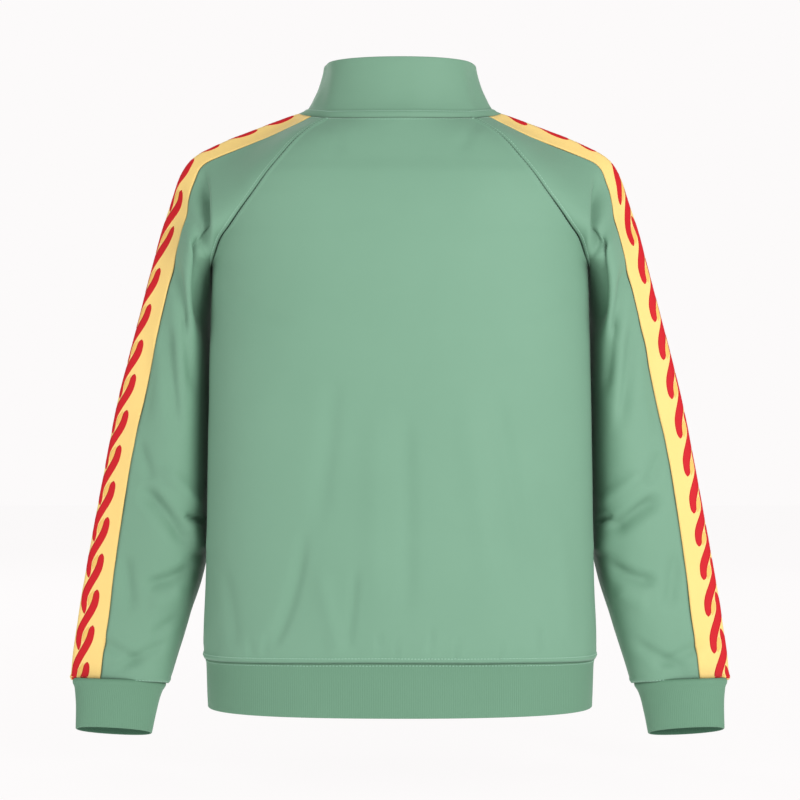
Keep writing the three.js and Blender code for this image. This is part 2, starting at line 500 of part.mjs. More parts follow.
// columns of the top edge fall at the same share of its length as on the neck
const neckShare = lengths(neckHalf).map((s, i, all) => s / all.at(-1));
const topFine = collarTopLine(200), topS = lengths(topFine);
const topHalf = neckShare.map((u) => along(topFine, topS, u * topS.at(-1)));
const topLine = topHalf.concat(topHalf.slice(0, -1).reverse().map((p) => across(p)));
const collarGrid = COLLAR.map(([h, inward]) => neck.map((p, j) => {
  const q = topLine[j];
  const out = V(lerp(p.x, q.x, inward), lerp(p.y, q.y, inward), lerp(p.z + SEAM + 0.2, q.z, h));
  if (j === 0 || j === neck.length - 1) out.run = V(1, 0, 0);
  return out;
})).reverse();
add('collar', wall(collarGrid, -1, BAND_WALL), COLOUR.green, cloth);

// ---- zip -----------------------------------------------------------------
// The centre-front line, from the collar's top edge down to the hem.
const zipLine = (() => {
  const line = [];
  for (const [h, inward] of COLLAR.slice().reverse()) {
    line.push(V(0, lerp(85, COLLAR_TOP.frontY, inward), lerp(243.4, COLLAR_TOP.frontZ, h)));
  }
  for (const w of torsoW.slice(0, -1)) { const r = torsoFront(w); line.push(V(0, r.cy, r.cz)); }
  for (const [d, inward] of HEM) line.push(V(0, 110 - inward, -284.5 - d * 60.3 / 57.5));
  return line.sort((a, b) => b.z - a.z);
})();
const zipS = lengths(zipLine), ZIP_LEN = zipS.at(-1);
const frame = (at) => {
  const p = along(zipLine, zipS, at);
  const q = along(zipLine, zipS, Math.min(at + 2, ZIP_LEN)), r = along(zipLine, zipS, Math.max(at - 2, 0));
  const d = q.sub(r).normalize();                         // down the zip
  return { p, d, n: V(0, -d.z, d.y) };                    // n points out of the front
};
// A bar swept down the zip line: its section is in x and depth.
function sweep(section, from, to) {
  const at = [from, ...zipS.filter((s) => s > from + 3 && s < to - 3), to];
  const stations = at.length - 1, m = section.length, pts = [], idx = [];
  for (const s of at) {
    const f = frame(s);
    for (const [x, y] of section) pts.push(shift(V(x, 0, 0).add(f.p).addScaledVector(f.n, y)));
  }
  for (let i = 0; i < stations; i++) for (let k = 0; k < m; k++) {
    const a = i * m + k, b = i * m + (k + 1) % m;
    idx.push(a, b, b + m, a, b + m, a + m);
  }
  for (let k = 1; k < m - 1; k++) idx.push(0, k + 1, k, stations * m, stations * m + k, stations * m + k + 1);
  return body(pts, idx);
}
const BEHIND = -(BAND_WALL + 0.35);                        // zip tape lies behind the thickest wall
const SLIDER_AT = 8;                                       // slider's middle, down from the top edge
for (const [name, m] of [['zip_tape_right', 1], ['zip_tape_left', -1]]) {
  const a = m * ZIP_TAPE_IN, b = m * ZIP_TAPE_OUT;
  add(name, sweep([[a, BEHIND], [b, BEHIND - ZIP_TAPE_DROP], [b, BEHIND - ZIP_TAPE_DROP - ZIP_TAPE_T], [a, BEHIND - ZIP_TAPE_T]], 1.5, ZIP_LEN - 2),
    COLOUR.zipTape, cloth);
}
const C2 = CHAIN_W / 2, CY = -1.7;                         // chain's middle depth
const chainSection = [[-C2, CY - 0.6], [-C2, CY + 0.6], [-1.2, CY + CHAIN_T / 2], [1.2, CY + CHAIN_T / 2], [C2, CY + 0.6], [C2, CY - 0.6], [1.2, CY - CHAIN_T / 2], [-1.2, CY - CHAIN_T / 2]];
add('zip_chain', sweep(chainSection, SLIDER_AT - 0.6, ZIP_LEN - 9), COLOUR.chain, { roughness: 0.45, metalness: 0 });
add('zip_box', sweep([[-2.55, CY - 1.6], [-2.55, CY + 1.9], [2.55, CY + 1.9], [2.55, CY - 1.6]], ZIP_LEN - 8.6, ZIP_LEN - 0.4), COLOUR.metal, metal);

// Hard pieces stand on the zip line's own frame at the slider: x, down, depth.
const wasm = await Module();
wasm.setup();
const { Manifold, Mesh } = wasm;
const F = frame(SLIDER_AT);
const onZip = (x, down, depth) => shift(V(x, 0, 0).add(F.p).addScaledVector(F.d, down).addScaledVector(F.n, depth));
// A prism with its outline in (x, down), between two depths.
function prism(outline, lo, hi) {
  const pts = [], idx = [], m = outline.length;
  for (const depth of [lo, hi]) for (const [x, down] of outline) pts.push(onZip(x, down, depth));
  for (let k = 0; k < m; k++) { const a = k, b = (k + 1) % m; idx.push(a, b, b + m, a, b + m, a + m); }
  for (let k = 1; k < m - 1; k++) idx.push(0, k + 1, k, m, m + k, m + k + 1);
  return body(pts, idx);
}
const block = (x0, x1, d0, d1, lo, hi) => prism([[x0, d0], [x1, d0], [x1, d1], [x0, d1]], lo, hi);
const solid = (geo) => {
  const mesh = new Mesh({ numProp: 3, vertProperties: geo.attributes.position.array, triVerts: Uint32Array.from(geo.index.array) });
  mesh.merge();
  return new Manifold(mesh);
};
function joined(geos) {
  const mesh = Manifold.union(geos.map(solid)).getMesh(), out = new THREE.BufferGeometry();
  out.setAttribute('position', new THREE.BufferAttribute(Float32Array.from(mesh.vertProperties), 3));
  out.setIndex(Array.from(mesh.triVerts));
  return out;
}
// A plate with cut corners, in (x, down).
const plate = (half, top, bottom, corner) => [
  [-half + corner, top], [half - corner, top], [half, top + corner], [half, bottom - corner],
  [half - corner, bottom], [-half + corner, bottom], [-half, bottom - corner], [-half, top + corner],
];
const SLIDER = { half: 4.2, top: -5.5, bottom: 5, corner: 1.4, face: 0.45, thick: 1.2, back: -4.4, post: 2.55 };
const FACE = SLIDER.face + SLIDER.thick;                    // the front plate's outer face
const BAIL = { half: 1.0, inner: 3.2, outer: 4.4, gap: 3.2, bar: 1.2 };
add('zip_slider', joined([
  prism(plate(SLIDER.half, SLIDER.top, SLIDER.bottom, SLIDER.corner), SLIDER.face, FACE),
  prism(plate(SLIDER.half, SLIDER.top, SLIDER.bottom, SLIDER.corner), SLIDER.back - 1, SLIDER.back),
  block(-SLIDER.post, SLIDER.post, SLIDER.top, -1, SLIDER.back - 0.5, SLIDER.face + 0.5),
  block(-BAIL.half, BAIL.half, -BAIL.outer, -BAIL.inner, FACE - 0.4, FACE + BAIL.gap + BAIL.bar),
  block(-BAIL.half, BAIL.half, BAIL.inner, BAIL.outer, FACE - 0.4, FACE + BAIL.gap + BAIL.bar),
  block(-BAIL.half, BAIL.half, -BAIL.outer, BAIL.outer, FACE + BAIL.gap, FACE + BAIL.gap + BAIL.bar),
]), COLOUR.metal, metal);
// Pull: a bar through the bail, two arms past its legs, and the tab.
const PIVOT = FACE + BAIL.gap / 2;                          // the bar's depth
const PULL = { bar: 0.8, armIn: 1.6, armOut: 2.9, window: 5.8, length: 27, half: 3.6, thick: 1.4 };
const barSection = Array.from({ length: 10 }, (_, k) => [PULL.bar * Math.cos(k * Math.PI / 5), PULL.bar * Math.sin(k * Math.PI / 5)]);
const bar = (() => {
  const pts = [], idx = [], m = barSection.length;
  for (const x of [-PULL.armOut, PULL.armOut]) for (const [u, v] of barSection) pts.push(onZip(x, u, PIVOT + v));
  for (let k = 0; k < m; k++) { const a = k, b = (k + 1) % m; idx.push(a, b, b + m, a, b + m, a + m); }
  for (let k = 1; k < m - 1; k++) idx.push(0, k + 1, k, m, m + k, m + k + 1);
  return body(pts, idx);
})();
const P2 = PULL.thick / 2;
add('zip_pull', joined([
  bar,
  block(PULL.armIn, PULL.armOut, 0, PULL.window + 0.5, PIVOT - P2, PIVOT + P2),
  block(-PULL.armOut, -PULL.armIn, 0, PULL.window + 0.5, PIVOT - P2, PIVOT + P2),
  prism(plate(PULL.half, PULL.window, PULL.length, 1.3), PIVOT - P2, PIVOT + P2),
]), COLOUR.metal, metal);

export default group;
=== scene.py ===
import math
import bpy
import numpy as np
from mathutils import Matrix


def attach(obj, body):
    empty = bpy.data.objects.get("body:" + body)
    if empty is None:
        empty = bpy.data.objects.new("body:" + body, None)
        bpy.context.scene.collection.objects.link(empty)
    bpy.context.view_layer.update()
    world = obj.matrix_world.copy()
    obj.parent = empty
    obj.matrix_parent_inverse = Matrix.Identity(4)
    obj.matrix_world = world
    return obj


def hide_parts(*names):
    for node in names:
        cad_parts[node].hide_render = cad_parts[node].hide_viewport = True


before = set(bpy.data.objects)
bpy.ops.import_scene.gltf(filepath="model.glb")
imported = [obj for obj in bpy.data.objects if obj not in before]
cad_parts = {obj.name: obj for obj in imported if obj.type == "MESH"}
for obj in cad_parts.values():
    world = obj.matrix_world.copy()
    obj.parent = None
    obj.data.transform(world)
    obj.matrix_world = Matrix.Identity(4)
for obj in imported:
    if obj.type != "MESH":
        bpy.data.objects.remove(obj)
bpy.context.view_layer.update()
JACKET, PULL = "jacket", "pull"

# ---- sizes (mm; the tables are those of the construction) ------------------
NECK_Z = 318.0
SEAM, RAGLAN_SEAM, TAPE_W, ZIP_W = 0.3, 0.56, 50.0, 6.2
UNDERARM_GAP = 1.2
CLOTH, BAND = 1.0, 2.2          # thickness of single cloth and of a folded band
STEP = 3.4                      # size of the cloth's mesh
VIEW_Y = 2400.0                 # folds are placed as seen from behind, from here
TORSO_BACK = [
  [-437, -284.5, -110, 150, 0, 1, 0, 74],
  [-420, -267, -113.5, 149, 0, 1, 0, 75],
  [-353, -203, -113, 146, 0, 1, 0, 73],
  [-150, 0, -110, 142, 0, 1, 0, 72],
  [-50, 100, -109, 140, 0, 1, 0, 70],
  [0, 150, -108, 138, 0, 1, 0, 68],
  [23, 153.5, -107.8, 127, 0.18, 0.98, 0, 59],
  [48, 162, -107.5, 116, 0.37, 0.93, 0, 53],
  [77, 180, -107, 104, 0.55, 0.83, 0, 48],
  [95, 194, -106, 92, 0.71, 0.70, 0, 45],
  [115, 209.5, -104.8, 83, 0.80, 0.60, 0, 43],
  [141, 230.5, -101.8, 74, 0.86, 0.51, 0, 41],
  [163, 248.5, -98, 67, 0.89, 0.45, 0, 38],
  [183, 264, -91.5, 60, 0.90, 0.43, 0.05, 36],
  [223, 291, -81, 50, 0.87, 0.48, 0.08, 30],
  [263, 311, -72, 38, 0.84, 0.52, 0.10, 22],
]
TORSO_FRONT = [
  [-437, -284.5, 110, 150, 0, -1, 0, 74],
  [-420, -267, 113, 149, 0, -1, 0, 75],
  [-353, -203, 113, 146, 0, -1, 0, 73],
  [-150, 0, 112, 142, 0, -1, 0, 72],
  [-50, 98, 110.5, 140, 0, -1, 0, 70],
  [0, 143, 108.5, 138, 0, -1, 0, 68],
  [23, 147.5, 108.2, 127, 0.18, -0.98, 0, 59],
  [48, 155, 107.6, 116, 0.37, -0.93, 0, 53],
  [77, 166, 106.6, 105, 0.55, -0.83, 0.03, 48],
  [95, 174, 105.3, 94, 0.69, -0.71, 0.06, 45],
  [115, 184, 103.4, 84, 0.77, -0.60, 0.12, 43],
  [141, 197.5, 100.2, 74, 0.82, -0.52, 0.18, 40],
  [163, 208, 97, 67, 0.84, -0.47, 0.24, 37],
  [183, 216.5, 94, 60, 0.82, -0.46, 0.30, 35],
  [223, 231, 89, 50, 0.72, -0.52, 0.42, 30],
  [263, 243, 85, 42, 0.50, -0.70, 0.50, 28],
]
SIDE = [
  [-437, 221.6, 0, -289.8], [-420, 222, 0, -271], [-353, 219.5, 0, -204],
  [-150, 215.8, 0, 0], [-50, 213.5, 0, 100], [0, 212, 0, 150],
]
RAGLAN_BACK = [
  [0, 212, 0, 150], [23, 210.3, -16, 153], [48, 206.2, -31, 161.3], [77, 198.4, -45, 179.5],
  [95, 187.4, -57, 193.5], [115, 176, -66, 209], [141, 160, -74.5, 230], [163, 146.8, -77, 248.4],
  [183, 134.5, -74.5, 264], [223, 109.8, -63, 292.7], [263, 81.8, -47.5, 313.8],
]
RAGLAN_FRONT = [
  [0, 212, 0, 150], [23, 210.3, 16, 152.6], [48, 206.2, 31, 158.8], [77, 199, 44, 172.5],
  [95, 189.5, 53.5, 184], [115, 178, 62, 198.5], [141, 161.5, 70, 218.5], [163, 148, 73, 236.5],
  [183, 135.5, 71, 252], [223, 114, 58, 281], [263, 92, 40, 308],
]
UNDERARM = [
  [0, 213, 0, 150], [6, 213.1, 5, 144], [20, 213.3, 14, 130], [37, 213.8, 24, 113],
  [82, 214.2, 34, 68], [150, 213.8, 40, 0], [218, 214.2, 42, -68], [263, 215.4, 42, -113],
  [308, 218, 40, -158], [353, 226.5, 36, -203], [398, 240.5, 28, -249], [444, 255.5, 19, -298], [466, 262.5, 14, -322],
]
RIDGE = [
  [-263, 114, -3, 323.9], [-243, 121, -3, 321.2], [-223, 131, -3, 317.4], [-203, 147, -3, 311.3],
  [-183, 166, -3, 304.2], [-163, 189, -3, 295.6], [-141, 213, -3, 284.7], [-126, 228.5, -3, 276.9],
  [-115, 238.3, -3, 268.7], [-105, 245, -3, 258.8], [-95, 250.4, -3, 246.8], [-77, 257.4, -3, 225], [-48, 267, -3, 196.6], [-23, 274, -2.5, 172.5],
  [0, 280, -2, 150], [37, 289.5, -1, 113], [82, 301.5, 0, 68], [150, 318.7, 2, 0],
  [218, 332.5, 3, -68], [263, 341, 3, -113], [308, 349.3, 3, -158], [353, 357.3, 3, -203],
  [398, 364.5, 2, -248], [444, 371, 1, -294], [466, 372.6, 0, -316.4],
]
SLEEVE_BACK = [
  [-263, 0.70, 0.70, 0.14, 14, -0.30, -0.86, -0.40, 13, 0],
  [-243, 0.80, 0.58, 0.12, 24, -0.14, -0.62, -0.76, 19, 0],
  [-223, 0.85, 0.50, 0.10, 30, -0.10, -0.55, -0.83, 22, 0],
  [-183, 0.89, 0.44, 0.08, 35, -0.16, -0.54, -0.83, 26, 0],
  [-163, 0.90, 0.41, 0.08, 37, -0.28, -0.56, -0.78, 30, 0],
  [-141, 0.93, 0.33, 0.05, 38, -0.50, -0.58, -0.64, 36, 0],
  [-115, 0.97, 0.15, 0.02, 42, -0.72, -0.50, -0.48, 42, 0],
  [-95, 0.97, -0.15, 0, 48, -0.82, -0.44, -0.36, 44, 0],
  [-77, 0.88, -0.46, 0, 58, -0.88, -0.38, -0.26, 46, 0],
  [-48, 0.62, -0.78, 0, 74, -0.93, -0.32, -0.16, 48, 0],
  [-23, 0.36, -0.93, 0, 86, -0.95, -0.28, -0.08, 50, 0],
  [0, 0.14, -0.99, 0, 96, -0.96, -0.27, -0.03, 50, 0],
  [37, 0.12, -0.99, 0, 106, -0.96, -0.26, 0, 50, 0],
  [82, 0.12, -0.99, 0, 114, -0.97, -0.25, 0, 50, 0],
  [150, 0.12, -0.99, 0, 118, -0.97, -0.24, 0, 50, 0],
  [218, 0.13, -0.99, 0, 116, -0.97, -0.23, 0, 52, 0],
  [263, 0.13, -0.99, 0, 110, -0.98, -0.21, 0, 52, 0],
  [308, 0.09, -1, 0, 100, -0.98, -0.20, 0, 52, 0],
  [353, 0.02, -1, 0, 86, -0.98, -0.20, 0, 52, 0],
  [398, 0, -1, 0, 68, -0.98, -0.22, 0, 48, 0.04],
  [444, -0.02, -1, 0, 48, -0.95, -0.32, 0, 40, 0.11],
  [466, 0, -1, 0, 39, -0.90, -0.45, 0, 34, 0.15],
]
RIDGE_ROUND = [[-263, 4.5], [-163, 5], [-126, 6.5], [-95, 8], [-48, 9], [466, 9]]
SLEEVE_FRONT = [
  [-263, 0.50, -0.70, 0.40, 18, 0, 1, -0.15, 16, 0],
  [-243, 0.62, -0.62, 0.41, 23, -0.03, 0.90, -0.40, 20, 0],
  [-223, 0.72, -0.52, 0.42, 28, -0.05, 0.86, -0.50, 24, 0],
  [-183, 0.82, -0.46, 0.30, 34, -0.10, 0.84, -0.54, 28, 0],
  [-163, 0.84, -0.46, 0.25, 36, -0.16, 0.82, -0.54, 30, 0],
  [-141, 0.92, -0.32, 0.20, 39, -0.30, 0.78, -0.54, 34, 0],
  [-115, 0.98, -0.06, 0.10, 46, -0.42, 0.80, -0.42, 42, 0],
  [-95, 0.96, 0.20, 0.04, 53, -0.48, 0.82, -0.30, 48, 0],
  [-77, 0.86, 0.48, 0, 61, -0.52, 0.83, -0.20, 54, 0],
  [-48, 0.62, 0.78, 0, 74, -0.55, 0.83, -0.10, 62, 0],
  [-23, 0.36, 0.93, 0, 81, -0.56, 0.83, -0.04, 68, 0],
  [0, 0.08, 0.99, 0, 84, -0.57, 0.82, 0, 70, 0],
  [37, 0.02, 1, 0, 80, -0.57, 0.82, 0, 70, 0],
  [82, 0, 1, 0, 74, -0.57, 0.82, 0, 70, 0],
  [150, 0, 1, 0, 68, -0.57, 0.82, 0, 68, 0],
  [218, 0, 1, 0, 62, -0.57, 0.82, 0, 64, 0],
  [263, 0, 1, 0, 58, -0.57, 0.82, 0, 61, 0],
  [308, 0.02, 1, 0, 54, -0.57, 0.82, 0, 57, 0],
  [353, 0.02, 1, 0, 51, -0.57, 0.82, 0, 53, 0],
  [398, 0.02, 1, 0, 47, -0.56, 0.83, 0, 46, 0.04],
  [444, 0.02, 1, 0, 42, -0.50, 0.87, 0, 38, 0.11],
  [466, 0, 1, 0, 38, -0.40, 0.92, 0, 34, 0.15],
]
TAPE_EDGE = [
  [-263, 29], [-243, 28], [-223, 28], [-203, 27], [-183, 24.5], [-163, 22.8], [-141, 20.5], [-126, 19.8],
  [-115, 21.3], [-105, 24], [-95, 26], [-77, 32.5], [-48, 36], [-23, 33.3], [0, 32.2], [37, 31], [82, 31.5],
  [150, 34], [218, 33], [263, 33.5], [308, 34.5], [353, 36], [398, 38], [466, 38],
]
CUFF = [
  [0, 370.8, 0, -317.2, 264.8, 14, -322.9, 37, 0.16],
  [8, 367.4, 0, -325, 270.4, 13.5, -331, 34, 0.20],
  [30, 366, 0, -347, 276.6, 12.5, -353, 31, 0.27],
  [55.5, 366.4, 0, -371.8, 281.8, 12, -378.4, 28, 0.33],
]
COLLAR = [[0, 0], [0.12, 0.34], [0.28, 0.66], [0.56, 0.90], [1, 1]]
HEM = [[0, 1.8], [6, 3.2], [30, 4.0], [57.5, 5.0]]

COLLAR_TOP = dict(backY=-60, backZ=378, sideX=87, sideY=2, sideZ=377, frontY=76, frontZ=311)


# ---- curves ----------------------------------------------------------------
def reader(rows):
    a = np.array(rows, float)
    x, n = a[:, 0], len(rows)
    d = np.diff(a, axis=0) / np.diff(x)[:, None]
    m = np.zeros_like(a)
    m[0], m[-1] = d[0], d[-1]
    for i in range(1, n - 1):
        h0, h1 = x[i] - x[i - 1], x[i + 1] - x[i]
        p, q = 2 * h1 + h0, h1 + 2 * h0
        same = d[i - 1] * d[i] > 0
        safe0, safe1 = np.where(same, d[i - 1], 1), np.where(same, d[i], 1)
        m[i] = np.where(same, (p + q) / (p / safe0 + q / safe1), 0)

    def read(key):
        k = min(max(key, x[0]), x[-1])
        i = min(max(int(np.searchsorted(x, k)) - 1, 0), n - 2)
        h = x[i + 1] - x[i]
        u = (k - x[i]) / h
        return ((2 * u**3 - 3 * u**2 + 1) * a[i] + (u**3 - 2 * u**2 + u) * h * m[i]
                + (3 * u**2 - 2 * u**3) * a[i + 1] + (u**3 - u**2) * h * m[i + 1])[1:]
    return read


def unit(v):
    v = np.asarray(v, float)
    return v / np.linalg.norm(v)


def bezier(p0, p1, p2, p3, n=72):
    u = np.linspace(0, 1, n + 1)[:, None]
    v = 1 - u
    return p0 * v**3 + p1 * (3 * v * v * u) + p2 * (3 * v * u * u) + p3 * u**3


def lengths(line):
    return np.concatenate([[0], np.cumsum(np.linalg.norm(np.diff(line, axis=0), axis=1))])


def pick(line, s, at):
    return np.stack([np.interp(at, s, line[:, k]) for k in range(3)], axis=-1)


def smooth(u):
    c = np.clip(u, 0, 1)
    return c * c * (3 - 2 * c)


def lerp(a, b, u):
    return a + (b - a) * u


torso_back, torso_front = reader(TORSO_BACK), reader(TORSO_FRONT)
sleeve_back, sleeve_front = reader(SLEEVE_BACK), reader(SLEEVE_FRONT)
side_seam, raglan_back, raglan_front, underarm, ridge_line = [
    reader(t) for t in (SIDE, RAGLAN_BACK, RAGLAN_FRONT, UNDERARM, RIDGE)]
tape_edge, cuff_ring, ridge_round = reader(TAPE_EDGE), reader(CUFF), reader(RIDGE_ROUND)


def torso_row(read, raglan, w):
    cz, cy, k0, tx, ty, tz, kl = read(w)
    q = raglan(w) if w > 0 else side_seam(w)
    return bezier(np.array([0, cy, cz]), np.array([k0, cy, cz]), q - unit([tx, ty, tz]) * kl, q)


def back_row(w):
    return torso_row(torso_back, raglan_back, w)


def front_row(w):
    return torso_row(torso_front, raglan_front, w)


def sleeve_ring(t):
    halves, round0 = [], ridge_round(t)[0]
    for read, raglan, side in ((sleeve_back, raglan_back, -1), (sleeve_front, raglan_front, 1)):
        tx, ty, tz, kq, ux, uy, uz, ko, lift = read(t)
        q = (raglan(-t) if t < 0 else underarm(t)).copy()
        if t < 0:
            q[0] += UNDERARM_GAP * smooth(1 + t / 30)
        p1 = q + unit([tx, ty, tz]) * kq
        p1[2] -= side * lift * kq
        u = unit([ux, uy, uz])
        u[2] -= side * lift * abs(u[1])
        halves.append((q, p1, u, ko))
    o = ridge_line(t) - (halves[0][2] + halves[1][2]) * (round0 / 4)
    lines = [bezier(q, p1, o + u * ko, o) for q, p1, u, ko in halves]
    ss = [lengths(x) for x in lines]
    cuts = [s[-1] - round0 for s in ss]
    a, b = pick(lines[0], ss[0], cuts[0]), pick(lines[1], ss[1], cuts[1])
    v = np.linspace(0, 1, 11)[:, None]
    bend = a * (1 - v)**2 + o * (2 * v * (1 - v)) + b * v * v
    head, tail = lines[0][ss[0] < cuts[0] - 0.5], lines[1][ss[1] < cuts[1] - 0.5][::-1]
    line = np.concatenate([head, bend, tail])
    s = lengths(line)
    peak, e = s[len(head) + 5], tape_edge(t)[0]
    return line, s, peak - e, peak + TAPE_W - e


def stations(*spans):
    out = []
    for lo, hi, step in spans:
        n = max(2, int(math.ceil(abs(hi - lo) / step)))
        out.append(np.linspace(lo, hi, n, endpoint=False))
    return np.concatenate(out + [[spans[-1][1]]])


# ---- unevenness and folds ---------------------------------------------------
def noise(p, seed=0):
    """Smooth lattice noise from -1 to 1 at the rows of p."""
    i = np.floor(p).astype(np.int64)
    f = p - i
    f = f * f * (3 - 2 * f)
    total = 0.0
    for dx in (0, 1):
        for dy in (0, 1):
            for dz in (0, 1):
                h = ((i[..., 0] + dx) * 374761393 + (i[..., 1] + dy) * 668265263
                     + (i[..., 2] + dz) * 2147483647 + seed * 974634777) & 0xFFFFFFFF
                h = ((h ^ (h >> 13)) * 1274126177) & 0xFFFFFFFF
                h = (h ^ (h >> 16)) & 0xFFFF
                w = (np.where(dx, f[..., 0], 1 - f[..., 0]) * np.where(dy, f[..., 1], 1 - f[..., 1])
                     * np.where(dz, f[..., 2], 1 - f[..., 2]))
                total = total + w * (h / 32767.5 - 1)
    return total


GRID = 1.13   # the folds' places are steps of this grid, from the view's top left corner (400 is the middle)
